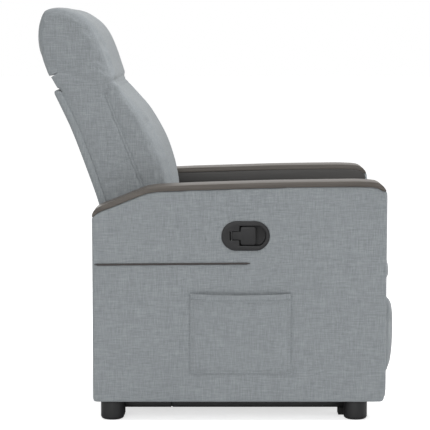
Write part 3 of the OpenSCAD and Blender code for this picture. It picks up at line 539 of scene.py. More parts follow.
def crowned_form(outline, half, rounding, crown=0.12, inset=0.0, ends=9, middle=6):
    """Points and faces of a cushion: an anticlockwise side view [x, z, draw] in mm carried across
    the width, fullest in the middle, its ends rounded by each point's draw."""
    flat = half - rounding
    turn = np.radians(np.linspace(90, 0, ends))
    end = [(-flat - rounding * math.sin(a), 1 - (1 - crown) * math.cos(a)) for a in turn]
    mid = [(-flat * (1 - 2 * k / middle), crown * abs(1 - 2 * k / middle) ** 2)
           for k in range(1, middle)]
    rings = end + mid + [(-y, share) for y, share in reversed(end)]
    whole = np.column_stack([outline[:, :2], np.broadcast_to(inset, len(outline))])
    outline = np.column_stack([drawn_in(whole, 1.0), outline[:, 2]])
    count = len(outline)
    points = [(x * MM, y * MM, z * MM) for y, share in rings
              for x, z in drawn_in(outline, share)]
    faces = [(j * count + i, j * count + (i + 1) % count, (j + 1) * count + (i + 1) % count,
              (j + 1) * count + i) for j in range(len(rings) - 1) for i in range(count)]
    faces.append(tuple(reversed(range(count))))
    last = (len(rings) - 1) * count
    faces.append(tuple(range(last, last + count)))
    return points, faces


SIM_FRAMES = 20


def stuff(piece, pinned, swell=None, voxel=None):
    """Gives a cushion an even mesh and fills it out by cloth pressure between its held seams.
    pinned takes points in mm and tells how firmly each is held, from 0 to 1."""
    shape = bpy.context.scene.recliner_cushions
    swell = swell or shape.swell
    modified(piece, "REMESH", mode="VOXEL", voxel_size=voxel or shape.voxel)
    start = points_of(piece.data)
    held = pinned(start / MM)
    group = piece.vertex_groups.new(name="seams")
    for level in (0.25, 0.5, 0.75, 1.0):
        chosen = np.flatnonzero(np.abs(np.round(held * 4) / 4 - level) < 0.01)
        if len(chosen):
            group.add(chosen.tolist(), level, "REPLACE")
    cloth = piece.modifiers.new("filling", "CLOTH")
    setting = cloth.settings
    setting.quality = 4
    setting.mass = 0.3
    setting.tension_stiffness = setting.compression_stiffness = 12
    setting.shear_stiffness = 4
    setting.bending_stiffness = 0.6
    setting.use_pressure = True
    setting.uniform_pressure_force = shape.pressure
    setting.vertex_group_mass = "seams"
    setting.effector_weights.gravity = 0
    cloth.collision_settings.use_collision = False
    scene = bpy.context.scene
    for step in range(1, SIM_FRAMES + 1):
        scene.frame_set(step)
    graph = bpy.context.evaluated_depsgraph_get()
    filled = points_of(piece.evaluated_get(graph).data)
    piece.modifiers.remove(cloth)
    piece.vertex_groups.clear()
    scene.frame_set(1)
    move = filled - start
    size = np.linalg.norm(move, axis=1)[:, None] + 1e-9
    set_points(piece.data, start + move * (swell * np.tanh(size / swell) / size))
    modified(piece, "SUBSURF", levels=1, render_levels=1)
    shade(piece.data, 80)


def along_line(points, line):
    """For points in the side view, the distance to a polyline and the share along it."""
    best = np.full(len(points), 1e9)
    share = np.zeros(len(points))
    line = np.asarray(line, float)
    spans = np.linalg.norm(np.diff(line, axis=0), axis=1)
    done = 0.0
    for a, b, span in zip(line[:-1], line[1:], spans):
        d = b - a
        t = np.clip(((points - a) @ d) / (d @ d), 0, 1)
        away = np.linalg.norm(points - a - t[:, None] * d, axis=1)
        nearer = away < best
        best[nearer] = away[nearer]
        share[nearer] = (done + t[nearer] * span) / spans.sum()
        done += span
    return best, share


def surface_of(piece):
    """The piece's surface, to lay seams on."""
    mesh = piece.data
    return BVHTree.FromPolygons([v.co.copy() for v in mesh.vertices],
                                [tuple(p.vertices) for p in mesh.polygons])


def laid_on(tree, points, towards, lift=0.0):
    """Points dropped on a surface along a direction, and the surface's normals there."""
    found = []
    for point in points:
        place, normal, _, _ = tree.ray_cast(Vector(point) - towards * 0.5, towards)
        if place is not None:
            found.append((place + normal * lift, normal))
    return found


def tape_on(name, tree, path, towards, width, height):
    """A narrow seam tape laid on a surface along a path, with rounded shoulders."""
    laid = laid_on(tree, path, towards)
    half = [(0.5, -0.6), (0.47, 0.5), (0.42, 0.9), (0.34, 0.1), (0.26, 0.95), (0.12, 1.05)]
    profile = [(-side, up) for side, up in half] + half[::-1]
    points, faces = [], []
    for i, (place, normal) in enumerate(laid):
        ahead = laid[min(i + 1, len(laid) - 1)][0] - laid[max(i - 1, 0)][0]
        across = normal.cross(ahead).normalized()
        for side, up in profile:
            points.append(place + across * side * width + normal * up * height)
    n = len(profile)
    for i in range(len(laid) - 1):
        for k in range(n):
            faces.append((i * n + k, i * n + (k + 1) % n, (i + 1) * n + (k + 1) % n,
                          (i + 1) * n + k))
    faces.append(tuple(reversed(range(n))))
    faces.append(tuple(range((len(laid) - 1) * n, len(laid) * n)))
    return right_way_out(piece_from(name, points, faces, "linen", 60))


def right_way_out(piece):
    """Turns a closed piece's faces outwards."""
    work = bmesh.new()
    work.from_mesh(piece.data)
    bmesh.ops.recalc_face_normals(work, faces=work.faces)
    work.to_mesh(piece.data)
    work.free()
    return piece


seam_rows = {"chair": [], "backrest": []}


def sew(body, laid, offset=0.0):
    """Keeps a row of stitches for the stitching operator, moved sideways on its surface."""
    row = []
    for i, (place, normal) in enumerate(laid):
        ahead = laid[min(i + 1, len(laid) - 1)][0] - laid[max(i - 1, 0)][0]
        row.append(place + normal.cross(ahead).normalized() * offset)
    seam_rows[body].append(row)


# ---------- the pieces ----------

# Lamps: name, place and width in metres, share of the key lamp's power
LAMPS = (("key", (1.75, -0.6, 3.9), 2.4, 1.0), ("side", (-0.6, -4.0, 1.7), 2.6, 0.36),
         ("back", (-1.6, 2.8, 2.2), 2.4, 0.3))
FLOOR_GLOW = 0.66         # the floor's own light towards the camera


class BuildStage(bpy.types.Operator):
    """Camera, lamps, pale floor and white surroundings"""
    bl_idname = "recliner.stage"
    bl_label = "Stage"

    def execute(self, context):
        scene, setup = context.scene, context.scene.recliner_stage
        scene.view_settings.view_transform = "Standard"
        data = bpy.data.cameras.new("camera")
        data.lens, data.sensor_width = setup.lens, 36.0
        camera = bpy.data.objects.new("camera", data)
        camera.location = (0.0, -setup.distance, setup.height)
        camera.rotation_euler = (math.radians(90) - setup.pitch, 0, 0)
        scene.collection.objects.link(camera)
        scene.camera = camera
        for name, place, size, share in LAMPS:
            light = bpy.data.lights.new(name, "AREA")
            light.shape, light.size, light.energy = "DISK", size, setup.key * share
            lamp = bpy.data.objects.new(name, light)
            lamp.location = place
            aim = Vector((0, 0, 0.5)) - Vector(place)
            lamp.rotation_euler = aim.to_track_quat("-Z", "Y").to_euler()
            scene.collection.objects.link(lamp)
        self.surroundings(scene, setup)
        self.floor(scene)
        return {"FINISHED"}

    def surroundings(self, scene, setup):
        """An even light from all round, which the camera and reflections see as white."""
        world = bpy.data.worlds.new("studio")
        scene.world = world
        world.use_nodes = True
        tree = world.node_tree
        tree.nodes.clear()
        path = add_node(tree, "ShaderNodeLightPath")
        clear = add_node(tree, "ShaderNodeMath", operation="MAXIMUM", links={
            0: path.outputs["Is Glossy Ray"], 1: path.outputs["Is Transmission Ray"]})
        seen = add_node(tree, "ShaderNodeMath", operation="MAXIMUM", links={
            0: path.outputs["Is Camera Ray"], 1: clear.outputs[0]})
        even = add_node(tree, "ShaderNodeBackground", {"Strength": setup.fill})
        white = add_node(tree, "ShaderNodeBackground", {"Strength": 1.0})
        even.inputs["Color"].default_value = white.inputs["Color"].default_value = (1, 1, 1, 1)
        mixed = add_node(tree, "ShaderNodeMixShader", links={
            0: seen.outputs[0], 1: even.outputs[0], 2: white.outputs[0]})
        add_node(tree, "ShaderNodeOutputWorld", links={"Surface": mixed.outputs[0]})

    def floor(self, scene):
        """A matt white floor, with just enough of its own light towards the camera to stay white
        outside the chair's shadow."""
        reach = 40.0
        mesh = bpy.data.meshes.new("floor")
        mesh.from_pydata([(-reach, -reach, 0), (reach, -reach, 0), (reach, reach, 0),
                          (-reach, reach, 0)], [], [(0, 1, 2, 3)])
        material, tree = blank_material("matt_white_floor", (1, 1, 1, 1))
        paper = add_node(tree, "ShaderNodeBsdfDiffuse", {"Color": (0.86, 0.86, 0.86, 1)})
        path = add_node(tree, "ShaderNodeLightPath")
        glow = add_node(tree, "ShaderNodeEmission", {"Color": (1, 1, 1, 1)}, {
            "Strength": add_node(tree, "ShaderNodeMath", {1: FLOOR_GLOW},
                                 {0: path.outputs["Is Camera Ray"]}, operation="MULTIPLY"
                                 ).outputs[0]})
        both = add_node(tree, "ShaderNodeAddShader", links={0: paper.outputs[0],
                                                            1: glow.outputs[0]})
        add_node(tree, "ShaderNodeOutputMaterial", links={"Surface": both.outputs[0]})
        floor = bpy.data.objects.new("floor", mesh)
        mesh.materials.append(material)
        scene.collection.objects.link(floor)


# Y of the side panels' outer faces, then the seam across them in side view: x, z
PANEL_FACE = 348.5
SEAM_LINE = [(-330, 395.8), (-301, 396), (88, 399), (240, 404.5), (427, 412), (455, 413)]
PIPING_X, PIPING_RADIUS = (-300.5, 88), 2.5      # its two ends on the seam, and its radius
POCKET_X, POCKET_Z = (-62, 189), (122, 323)


class BuildSidePanels(bpy.types.Operator):
    """The two upholstered side panels, each with a seam that is piped in its rear part"""
    bl_idname = "recliner.side_panels"
    bl_label = "Side panels"

    def execute(self, context):
        for side in SIDES:
            node = f"{side}_side_panel"
            panel = piece_of(f"{side}_panel_cover", merged_copy(node), "linen")
            modified(panel, "REMESH", mode="VOXEL", voxel_size=3.7 * MM)
            modified(panel, "SMOOTH", factor=0.5, iterations=3)
            self.draw_in_seams(panel, pocketed=side == "right")
            shade(panel.data, 80)
            stand_in(panel, "chair", "linen_fabric", node)
        self.piping()
        return {"FINISHED"}

    def draw_in_seams(self, panel, pocketed):
        """Gives the flat faces the slight waviness of cloth over wadding, and draws the seam in."""
        points = points_of(panel.data)
        side = points[:, [0, 2]] / MM
        flat = np.clip((np.abs(normals_of(panel.data)[:, 1]) - 0.6) / 0.3, 0, 1)
        outer = flat * (np.abs(points[:, 1]) > 0.32)
        wave = waviness(points, 8.0) + 0.35 * waviness(points, 24.0)
        away, _ = along_line(side, SEAM_LINE)
        piped = np.clip((PIPING_X[1] + 4 - side[:, 0]) / 5, 0, 1)
        pucker = np.array([noise.noise(Vector((x * 0.055, 0, 0))) for x in side[:, 0]])
        press = (0.85 + 1.4 * piped) * bell(away, 2.4 + 0.8 * piped)
        press += 0.35 * pucker * (1 - piped) * bell(away, 12)
        if pocketed:
            mouth, _ = along_line(side, [(POCKET_X[0] + 4, POCKET_Z[1] + 1),
                                         (63, POCKET_Z[1] - 2.6),
                                         (POCKET_X[1] - 4, POCKET_Z[1] + 1)])
            press += 1.5 * bell(mouth, 3.2)
            left, right = POCKET_X[0] - 1, POCKET_X[1] + 1
            sewn, _ = along_line(side, [(left, 316), (left, POCKET_Z[0] - 1),
                                        (right, POCKET_Z[0] - 1), (right, 316)])
            press += 1.1 * bell(sewn, 2.8)
        move = 0.8 * wave * flat - press * outer
        points[:, 1] += np.sign(points[:, 1]) * move * MM * np.where(outer > 0, 1, 0.6)
        set_points(panel.data, points)

    def piping(self):
        """The dark welt in the rear part of each seam: a round cord in a sewn flange, its ends
        tucked in."""
        points, faces = [], []
        turn, steps = 10, 44
        for sign in SIDES.values():
            first = len(points)
            for i in range(steps + 1):
                t = i / steps
                x = PIPING_X[0] + (PIPING_X[1] - PIPING_X[0]) * t
                z = np.interp(x, *zip(*SEAM_LINE))
                r = PIPING_RADIUS * min(1, 0.25 + 7 * min(t, 1 - t) * steps / 8)
                for k in range(turn):
                    a = 2 * math.pi * k / turn
                    points.append(mm(x, sign * (PANEL_FACE - 0.4 + r * 0.85 * math.cos(a)),
                                     z + r * math.sin(a)))
            for i in range(steps):
                for k in range(turn):
                    a, b = first + i * turn + k, first + i * turn + (k + 1) % turn
                    faces.append((a, b, b + turn, a + turn))
            faces.append(tuple(range(first, first + turn)))
            faces.append(tuple(range(first + steps * turn, first + (steps + 1) * turn)))
        piece = right_way_out(piece_from("side_welts", points, faces, "welt", 60))
        stand_in(piece, "chair", "wood_look", "side_piping")


class BuildArmCaps(bpy.types.Operator):
    """The wood-look caps on the arms and the thin trims on their inner sides"""
    bl_idname = "recliner.arm_caps"
    bl_label = "Arm caps"

    def execute(self, context):
        edge = context.scene.recliner_caps.edge
        for side in SIDES:
            soften(f"{side}_arm_cap", f"{side}_cap", edge, "foil", "wood_look", 3, 50)
        # The trims' darker foil is painted shade on the arms' inner sides.
        soften("arm_inner_trims", "inner_trims", 0.8 * MM, "trim", "wood_look")
        return {"FINISHED"}


POCKET_CLOTH, POCKET_HEM = 1.3, 2.0      # thickness of the cloth, and what its hem adds
HEM_START = 0.922                        # where the hem begins, as a share of the height
SEAM_COLUMN = 2                          # how many mesh columns inside its edge it is sewn


class BuildPocket(bpy.types.Operator):
    """The sewn-on side pocket, open at the top, with a turned hem"""
    bl_idname = "recliner.side_pocket"
    bl_label = "Side pocket"

    def execute(self, context):
        across, up = 72, 60
        outer, inner = [], []
        for j in range(up + 1):
            v = j / up
            for i in range(across + 1):
                u = i / across
                x = POCKET_X[0] + (POCKET_X[1] - POCKET_X[0]) * u
                z = POCKET_Z[0] + (POCKET_Z[1] - POCKET_Z[0]) * v
                z -= 3.6 * math.sin(math.pi * u) * v ** 3
                x += 1.2 * math.sin(2.3 * z / 60) * (1 - abs(2 * u - 1))
                bow = self.bow(u, v)
                hem = POCKET_HEM * min(max((v - HEM_START) * 90, 0), 1)
                sewn = 0.55 * bell(min(i, across - i, j) - SEAM_COLUMN, 0.8)
                sewn += 0.5 * bell(j - up + 6, 0.9)
                front = PANEL_FACE + 0.4 + POCKET_CLOTH + hem + bow - sewn
                outer.append(mm(x, -front, z))
                inner.append(mm(x, -(PANEL_FACE + 0.2 + bow * 0.93), z))
        points, n = outer + inner, len(outer)
        width = across + 1
        faces = []
        for j in range(up):
            for i in range(across):
                a = j * width + i
                faces.append((a, a + 1, a + 1 + width, a + width))
                faces.append((n + a, n + a + width, n + a + 1 + width, n + a + 1))
        rim = list(range(width)) + [j * width + across for j in range(1, up + 1)]
        rim += [up * width + i for i in range(across - 1, -1, -1)]
        rim += [j * width for j in range(up - 1, 0, -1)]
        for a, b in zip(rim, rim[1:] + rim[:1]):
            faces.append((a, n + a, n + b, b))
        pocket = right_way_out(piece_from("side_pocket_cover", points, faces, "linen", 50))
        modified(pocket, "BEVEL", width=0.6 * MM, segments=2, limit_method="ANGLE",
                 angle_limit=math.radians(50))
        shade(pocket.data, 60)
        stand_in(pocket, "chair", "linen_fabric", "side_pocket")
        self.stitches(outer, width, across, up)
        return {"FINISHED"}

    def bow(self, u, v):
        """How far the pocket stands off the panel: most near the top, nothing at its sewn edges."""
        side = min(1.0, 6.0 * min(u, 1 - u)) ** 0.7
        foot = min(1.0, 7.0 * v) ** 0.7
        ripple = 0.6 * math.sin(9.0 * u + 2.0 * v) * math.sin(5.0 * v)
        return max(0.0, side * foot * (1.6 + 4.2 * v ** 2 + ripple))

    def stitches(self, outer, width, across, up):
        """Rows of stitches down both sides, along the foot and under the hem."""
        out = Vector((0, -1, 0))

        def row(fixed, value):
            line = []
            count = up if fixed == "u" else across
            for k in range(1, count):
                i, j = (value, k) if fixed == "u" else (k, value)
                line.append((outer[j * width + i] + out * 0.25 * MM, out))
            return line
        for column in (SEAM_COLUMN, across - SEAM_COLUMN):
            sew("chair", row("u", column))
        for line in (SEAM_COLUMN, up - 4):
            sew("chair", row("v", line))


class BuildLatch(bpy.types.Operator):
    """The recline latch: an oval moulded housing and its T-shaped pull lever"""
    bl_idname = "recliner.latch"
    bl_label = "Recline latch"

    def execute(self, context):
        soften("latch_housing", "latch_shell", 1.6 * MM, "plastic", "black_plastic", 4, 30)
        soften("latch_lever", "latch_paddle", 1.3 * MM, "plastic", "black_plastic", 3, 30)
        return {"FINISHED"}


# Side view of the seat cushion from its rear foot, round the nose and back: x, z, draw
SEAT = [(-205, 353.2, 3), (-191, 339.2, 2), (-147, 337.2, 0), (-57, 337.2, 0), (258, 337.2, 0),
        (388, 337.2, 0), (408, 337.4, 4), (434, 339.2, 8), (445, 350.2, 11), (448, 368.2, 13),
        (443, 395.2, 14), (431, 425.2, 14), (400, 459, 14), (328, 471, 14), (148, 473, 14),
        (-57, 469, 12), (-162, 464, 8), (-199, 451, 6), (-207, 403, 4)]
SEAT_HALF, SEAT_UNDERSIDE = 257, 337.1   # half width and the height of its flat underside


class BuildSeat(bpy.types.Operator):
    """The seat cushion with its rolled front"""
    bl_idname = "recliner.seat"
    bl_label = "Seat cushion"

    def execute(self, context):
        outline = smooth_line(SEAT, 5, closed=True)
        form = crowned_form(outline, SEAT_HALF, rounding=42, inset=2.5)
        seat = piece_from("seat_cushion_cover", *form, "linen")
        stuff(seat, self.held)
        points = points_of(seat.data)
        limit = (SEAT_HALF - 0.2) * MM
        points[:, 1] = np.clip(points[:, 1], -limit, limit)
        points[:, 2] = np.maximum(points[:, 2], SEAT_UNDERSIDE * MM)
        set_points(seat.data, points)
        stand_in(seat, "chair", "linen_fabric", "seat_cushion")
        return {"FINISHED"}

    def held(self, points):
        """The cover is held under the cushion, along its rear and down its sides."""
        held = np.clip((352 - points[:, 2]) / 12, 0, 1)
        held = np.maximum(held, np.clip((-190 - points[:, 0]) / 14, 0, 1))
        return np.maximum(held, np.clip((np.abs(points[:, 1]) - 244) / 8, 0, 1) * 0.75)


# Side view of the back from its lower rear corner, up the front, over the head and down
# behind it: x, z, draw
BACK = [(-249, 381, 0), (-214, 381, 1), (-213, 420, 1), (-212, 463, 1), (-203, 473, 2),
        (-165, 474, 3), (-127, 475, 6), (-109, 487, 11), (-100, 515, 16), (-97, 545, 19),
        (-99, 569, 20), (-113, 631, 20), (-137.5, 698, 17), (-177, 765, 11), (-205, 798, 7),
        (-236, 832, 4), (-241, 844, 2), (-250.5, 864, 4), (-262, 898, 6), (-273, 932, 7),
        (-288, 967, 8), (-308, 999.5, 10), (-324, 1015, 10), (-348, 1029, 9), (-367, 1035, 8),
        (-385, 1039, 7), (-403, 1040, 7), (-424, 1036, 5), (-438, 1025, 3), (-447, 995, 1.5),
        (-449, 964, 1.5), (-446, 941, 1.5), (-437, 903, 1.5), (-429, 881, 1), (-421, 861, 1),
        (-411, 842, 1), (-400, 831, 1), (-385.7, 824, 0), (-354.7, 760, 0), (-333.7, 712, 0),
        (-304.7, 635, 0), (-270.7, 535, 0), (-254.7, 450, 0)]
REAR_LINE = [(-385.7, 824), (-354.7, 760), (-333.7, 712), (-304.7, 635), (-270.7, 535),
             (-254.7, 450), (-249, 381)]
CREASE = [(-236, 850), (-249, 842.5), (-262, 836)]
# Cut out under the flap behind the head: a thin slit and the recess below it
FLAP_CUT = [(-395, 871.5), (-420.5, 860.5), (-445, 849.5), (-430, 822), (-393.2, 826),
            (-412, 858.8), (-399, 868.2)]
SIDE_SEAM = [(-275, 815.5), (-262, 782), (-236, 715), (-210, 650), (-184, 582.6), (-182, 550),
             (-184, 520)]
# Soft folds on the back's sides: from, to, half width, depth
FOLDS = [((-262, 836), (-288, 808), 6, 2.6), ((-246, 856), (-268, 842), 6, 2.2),
         ((-214, 656), (-262, 628), 6, 2.2), ((-228, 606), (-282, 592), 9, 1.9),
         ((-196, 560), (-246, 541), 8, 1.6), ((-150, 626), (-190, 598), 9, 1.7),
         ((-132, 582), (-178, 556), 8, 1.3), ((-160, 690), (-120, 660), 8, 1.1),
         ((-330, 850), (-290, 838), 7, 0.7)]
BACK_HALF, SEAT_TOP = 255, 474           # half width, and the height where it meets the seat


def valley_beside(away):
    """How far out the cover lies beside the seam between the body and the outside back."""
    return BACK_HALF - 0.2 - 3.0 * bell(away, 5.5)


def rear_x(heights):
    """X of the seam between the body and the outside back, at heights in mm."""
    line = np.array(REAR_LINE[::-1], float)
    return np.interp(heights, line[:, 1], line[:, 0])


class BuildBack(bpy.types.Operator):
    """The back's padded body: head pillow, front cushion and side pads under one cover"""
    bl_idname = "recliner.back"
    bl_label = "Back cushion"

    def execute(self, context):
        outline = smooth_line(BACK, 4, closed=True)
        behind, _ = along_line(outline[:, :2], REAR_LINE)
        crease, _ = along_line(outline[:, :2], CREASE)
        inset = 3.2 * np.clip((behind - 2) / 30, 0, 1) * np.clip((crease - 2) / 22, 0, 1)
        form = crowned_form(outline, BACK_HALF, rounding=40, inset=inset)
        back = piece_from("back_cover", *form, "linen")
        stuff(back, self.held, voxel=6 * MM, swell=6 * MM)
        self.mark(back)
        self.square_up(back)
        self.cut_flap(back)
        stand_in(back, "backrest", "linen_fabric", "back_cushion", "head_pillow",
                 "back_side_pads")
        self.seams(back)
        return {"FINISHED"}

    def held(self, points):
        """The cover is held at the side seams, in the crease under the pillow and behind."""
        side = points[:, [0, 2]]
        seam, _ = along_line(side, SIDE_SEAM)
        crease, _ = along_line(side, CREASE)
        rear, _ = along_line(side, [(-437, 903), (-421, 861), (-400, 831), *REAR_LINE,
                                    (-214, 381), (-212, 465)])
        held = np.clip(1 - (rear - 3) / 9, 0, 1)
        held = np.maximum(held, np.clip(1 - (crease - 3) / 14, 0, 1))
        on_side = np.clip((np.abs(points[:, 1]) - 215) / 10, 0, 1)
        return np.maximum(held, on_side * np.clip(1 - (seam - 2) / 8, 0, 1))

    def mark(self, back):
        """Presses the crease, the seams' valleys and the folds in."""
        points = points_of(back.data)
        normals = normals_of(back.data)
        side = points[:, [0, 2]] / MM
        on_side = np.clip((np.abs(points[:, 1]) / MM - 196) / 34, 0, 1)
        away, _ = along_line(side, SIDE_SEAM)
        press = 2.0 * bell(away, 6.5) * on_side
        for start, end, width, depth in FOLDS:
            away, share = along_line(side, [start, end])
            fade = np.sin(np.pi * np.clip(0.12 + 0.76 * share, 0, 1))
            press += depth * fade * on_side * (
                bell(away, width) - 0.35 * bell(away / width - 1.9, 1))
        points -= normals * (press * MM)[:, None]
        points += normals * (0.7 * MM * waviness(points, 11.0))[:, None]
        crease, _ = along_line(side, CREASE)
        above, _ = along_line(side - [0, 6], CREASE)
        outer = np.clip((np.abs(points[:, 1]) / MM - 130) / 90, 0, 1)
        inward = (bell(crease, 3.5) + 8.0 * outer ** 1.5 * bell(above, 10)) * MM
        points[:, 0] -= inward * 0.9
        points[:, 2] -= inward * 0.4
        over_seat = (points[:, 2] < SEAT_TOP * MM) & (points[:, 0] > -211.8 * MM)
        points[over_seat, 2] = SEAT_TOP * MM
        set_points(back.data, points)

    def square_up(self, back):
        """Takes the body's rear edges right up to the outside back, without a gap."""
        points = points_of(back.data)
        side = points[:, [0, 2]] / MM
        behind, _ = along_line(side, REAR_LINE)
        rear = rear_x(side[:, 1])
        inside = (side[:, 1] > 384) & (side[:, 1] < 824)
        close = inside & (side[:, 0] < rear + 4.5)
        points[close, 0] = rear[close] * MM
        rim = inside & (behind < 12) & (np.abs(points[:, 1]) > 0.2485)
        points[rim, 1] = np.sign(points[rim, 1]) * valley_beside(behind[rim]) * MM
        points[:, 1] = np.clip(points[:, 1], -0.2555, 0.2555)
        set_points(back.data, points)

    def cut_flap(self, back):
        """Cuts the slit under the loose flap behind the head, and the recess below it."""
        count = len(FLAP_CUT)
        points = [mm(x, y, z) for y in (-300, 300) for x, z in FLAP_CUT]
        faces = [(i, (i + 1) % count, count + (i + 1) % count, count + i) for i in range(count)]
        faces += [tuple(range(count)), tuple(range(count, 2 * count))]
        cutter = right_way_out(piece_from("flap_cutter", points, faces, "linen"))
        modified(back, "BOOLEAN", operation="DIFFERENCE", object=cutter, solver="EXACT")
        bpy.data.objects.remove(cutter)
        shade(back.data, 50)

    def seams(self, back):
        """A grooved tape and two rows of stitches down each side seam."""
        tree = surface_of(back)
        for side, sign in SIDES.items():
            inward = Vector((0, -sign, 0))
            path = [mm(x, sign * (BACK_HALF + 1), z) for x, z in smooth_line(SIDE_SEAM, 12)]
            tape = tape_on(f"{side}_seam_tape", tree, path, inward, 10 * MM, 1.3 * MM)
            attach(tape, "backrest")
            laid = laid_on(tree, path, inward, 0.5 * MM)
            for offset in (-3.4 * MM, 3.4 * MM):
                sew("backrest", laid, offset)


class BuildBackShell(bpy.types.Operator):
    """The padded panel behind the back and the skirt below it"""
    bl_idname = "recliner.back_shell"
    bl_label = "Outside back"

    def execute(self, context):
        for node, name, body in (("outside_back", "outside_back_cover", "backrest"),
                                 ("rear_skirt", "rear_skirt_cover", "chair")):
            piece = piece_of(name, merged_copy(node), "linen")
            modified(piece, "REMESH", mode="VOXEL", voxel_size=4 * MM)
            modified(piece, "SMOOTH", factor=0.5, iterations=2)
            points = points_of(piece.data)
            normals = normals_of(piece.data)
            points += normals * (0.7 * MM * waviness(points, 8.0))[:, None]
            if node == "outside_back":
                side = points[:, [0, 2]] / MM
                inner, _ = along_line(side, REAR_LINE)
                inside = (side[:, 1] > 384) & (side[:, 1] < 822)
                close = inside & (inner < 3.2)
                points[close, 0] = rear_x(side[close, 1]) * MM
                rim = inside & (inner < 12) & (np.abs(points[:, 1]) > 0.2475)
                points[rim, 1] = np.sign(points[rim, 1]) * valley_beside(inner[rim]) * MM
            set_points(piece.data, points)
            shade(piece.data, 80)
            stand_in(piece, body, "linen_fabric", node)
        return {"FINISHED"}


# Side view of the footrest pad from its lower rear corner: x, z, draw
PAD = [(412.5, 111, 2), (421, 99, 4), (440, 103, 7), (447, 123, 10), (452.5, 169, 12),
       (454, 225.5, 12), (451.5, 278, 11), (446, 299, 9), (433, 310, 6), (420, 312, 4),
       (412.5, 300, 2), (411.3, 242, 2), (411.3, 169, 2)]
PAD_HALF, PAD_REAR = 252, 411.2          # half width and X of the face on the board


class BuildFootrest(bpy.types.Operator):
    """The padded footrest panel on its board"""
    bl_idname = "recliner.footrest"
    bl_label = "Footrest"

    def execute(self, context):
        outline = smooth_line(PAD, 6, closed=True)
        form = crowned_form(outline, PAD_HALF, rounding=36, inset=1.5)
        pad = piece_from("footrest_cover", *form, "linen")
        stuff(pad, self.held, swell=5 * MM, voxel=5.5 * MM)
        points = points_of(pad.data)
        limit = (PAD_HALF + 0.5) * MM
        points[:, 0] = np.maximum(points[:, 0], PAD_REAR * MM)
        points[:, 1] = np.clip(points[:, 1], -limit, limit)
        set_points(pad.data, points)
        stand_in(pad, "footrest_panel", "linen_fabric", "footrest_pad")
        return {"FINISHED"}

    def held(self, points):
        """The cover is held where it meets the board."""
        return np.clip((420 - points[:, 0]) / 6, 0, 1)


class BuildFeet(bpy.types.Operator):
    """The four moulded feet"""
    bl_idname = "recliner.feet"
    bl_label = "Feet"

    def execute(self, context):
        soften("round_feet", "feet", 2.2 * MM, "plastic", "black_plastic", 3, 40)
        return {"FINISHED"}


# The coated steel pieces and the radius of their edges, in mm
STEEL = {"base_side_rails": 1.2, "base_cross_tubes": 1.2, "base_pivot_plates": 0.6,
         "actuator_bracket": 0.6, "lower_lift_arms": 0.8, "upper_lift_arms": 0.8,
         "carriage_plates": 0.7, "carriage_tubes": 1.2, "actuator_lug": 0.6,
         "seat_hinge_brackets": 0.5, "back_hinge_brackets": 0.6, "footrest_rear_arms": 0.6,
         "footrest_front_arms": 0.6, "footrest_control_links": 0.6, "footrest_panel_links": 0.6,
         "footrest_brackets": 0.5}


class BuildMechanism(bpy.types.Operator):
    """Steel, wood and webbing of the frame, the lift and the footrest"""
    bl_idname = "recliner.mechanism"
    bl_label = "Frame and mechanism"

    def execute(self, context):
        for node, edge in STEEL.items():
            soften(node, f"{node}_coated", edge * MM, "powder", "black_steel")
        for node, edge in {"gear_housing": 1.5, "motor_can": 1.2}.items():
            soften(node, f"{node}_shell", edge * MM, "plastic", "black_plastic", 3)
        soften("base_pads", "floor_pads", 1.5 * MM, "rubber", "rubber", 3)
        for node in ("seat_side_rails", "seat_end_rails", "footrest_board"):
            soften(node, f"{node}_wrapped", 2.5 * MM, "linen", "linen_fabric", 3)
        for node in ("headboard", "back_cross_boards"):
            soften(node, f"{node}_planed", 1.5 * MM, "beech", "frame_wood")
        for part in frame["record"]["subparts"]:
            node = frame["nodes"][part["node"]]
            if not node.hide_render:
                node.data.materials.clear()
                node.data.materials.append(finish_of(SLOT_FINISH[part["material_slot"]]))
                shade(node.data, 35)
        return {"FINISHED"}


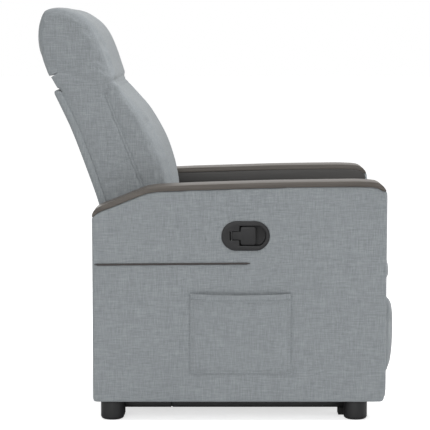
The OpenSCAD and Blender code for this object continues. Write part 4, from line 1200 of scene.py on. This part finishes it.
class BuildStitching(bpy.types.Operator):
    """Rows of stitches along the seams, as one mesh for each body"""
    bl_idname = "recliner.stitching"
    bl_label = "Stitching"

    def execute(self, context):
        tree = self.stitch_tree()
        size = context.scene.recliner_stitches
        for body, rows in seam_rows.items():
            if not rows:
                continue
            points, edges = [], []
            for row in rows:
                first = len(points)
                points += [tuple(p) for p in row]
                edges += [(first + i, first + i + 1) for i in range(len(row) - 1)]
            mesh = bpy.data.meshes.new(f"stitching_{body}")
            mesh.from_pydata(points, edges, [])
            piece = bpy.data.objects.new(f"stitching_{body}", mesh)
            context.scene.collection.objects.link(piece)
            modifier = piece.modifiers.new("stitches", "NODES")
            modifier.node_group = tree
            values = {"Pitch": size.pitch, "Length": size.reach, "Thread": size.thread,
                      "Seed": 7}
            for item in tree.interface.items_tree:
                if item.item_type == "SOCKET" and item.name in values:
                    modifier[item.identifier] = values[item.name]
            settle(piece)
            shade(piece.data, 60)
            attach(piece, body)
        return {"FINISHED"}

    def stitch_tree(self):
        """Puts a thread's rounded bead along each row at every pitch, very slightly askew."""
        tree = bpy.data.node_groups.new("stitch_rows", "GeometryNodeTree")
        for name, kind, flow in (("Rows", "NodeSocketGeometry", "INPUT"),
                                 ("Pitch", "NodeSocketFloat", "INPUT"),
                                 ("Length", "NodeSocketFloat", "INPUT"),
                                 ("Thread", "NodeSocketFloat", "INPUT"),
                                 ("Seed", "NodeSocketInt", "INPUT"),
                                 ("Stitches", "NodeSocketGeometry", "OUTPUT")):
            tree.interface.new_socket(name, in_out=flow, socket_type=kind)
        given = add_node(tree, "NodeGroupInput")
        curve = add_node(tree, "GeometryNodeMeshToCurve", links={"Mesh": given.outputs["Rows"]})
        spots = add_node(tree, "GeometryNodeCurveToPoints", links={
            "Curve": curve.outputs[0], "Length": given.outputs["Pitch"]}, mode="LENGTH")
        bead = add_node(tree, "GeometryNodeMeshUVSphere",
                        {"Segments": 6, "Rings": 5, "Radius": 0.5})
        scale = add_node(tree, "ShaderNodeCombineXYZ", links={
            "X": given.outputs["Thread"], "Y": given.outputs["Thread"],
            "Z": given.outputs["Length"]})
        tilt = add_node(tree, "FunctionNodeRandomValue", {0: (-0.06, -0.06, -0.06),
                        1: (0.06, 0.06, 0.06)}, {"Seed": given.outputs["Seed"]},
                        data_type="FLOAT_VECTOR")
        euler = add_node(tree, "FunctionNodeEulerToRotation", links={0: tilt.outputs[0]})
        turned = add_node(tree, "FunctionNodeRotateRotation", links={
            "Rotation": spots.outputs["Rotation"], "Rotate By": euler.outputs[0]},
            rotation_space="LOCAL")
        placed = add_node(tree, "GeometryNodeInstanceOnPoints", links={
            "Points": spots.outputs["Points"], "Instance": bead.outputs["Mesh"],
            "Rotation": turned.outputs[0], "Scale": scale.outputs[0]})
        real = add_node(tree, "GeometryNodeRealizeInstances",
                        links={"Geometry": placed.outputs[0]})
        done = add_node(tree, "GeometryNodeSetMaterial", {"Material": finish_of("thread")},
                        {"Geometry": real.outputs[0]})
        add_node(tree, "NodeGroupOutput", links={"Stitches": done.outputs[0]})
        return tree


OPERATORS = (BuildStage, BuildSidePanels, BuildArmCaps, BuildPocket, BuildLatch, BuildSeat,
             BuildBack, BuildBackShell, BuildFootrest, BuildFeet, BuildMechanism,
             BuildStitching)


class ReclinerPanel(bpy.types.Panel):
    """Lists the chair's pieces and their sizes"""
    bl_idname = "VIEW3D_PT_recliner"
    bl_label = "Lift recliner"
    bl_space_type = "VIEW_3D"
    bl_region_type = "UI"
    bl_category = "Recliner"

    def draw(self, context):
        for operator in OPERATORS:
            self.layout.operator(operator.bl_idname)
        for name, group in LOOKS.items():
            box = self.layout.box()
            box.label(text=group.__doc__)
            for key in group.__annotations__:
                box.prop(getattr(context.scene, name), key)


def register():
    for kind in (*LOOKS.values(), *OPERATORS, ReclinerPanel):
        bpy.utils.register_class(kind)
    for name, group in LOOKS.items():
        setattr(bpy.types.Scene, name, bpy.props.PointerProperty(type=group))


def unregister():
    for name in LOOKS:
        delattr(bpy.types.Scene, name)
    for kind in reversed((*LOOKS.values(), *OPERATORS, ReclinerPanel)):
        bpy.utils.unregister_class(kind)


def main():
    register()
    for operator in OPERATORS:
        group, name = operator.bl_idname.split(".")
        getattr(getattr(bpy.ops, group), name)()


if __name__ == "__main__":
    main()
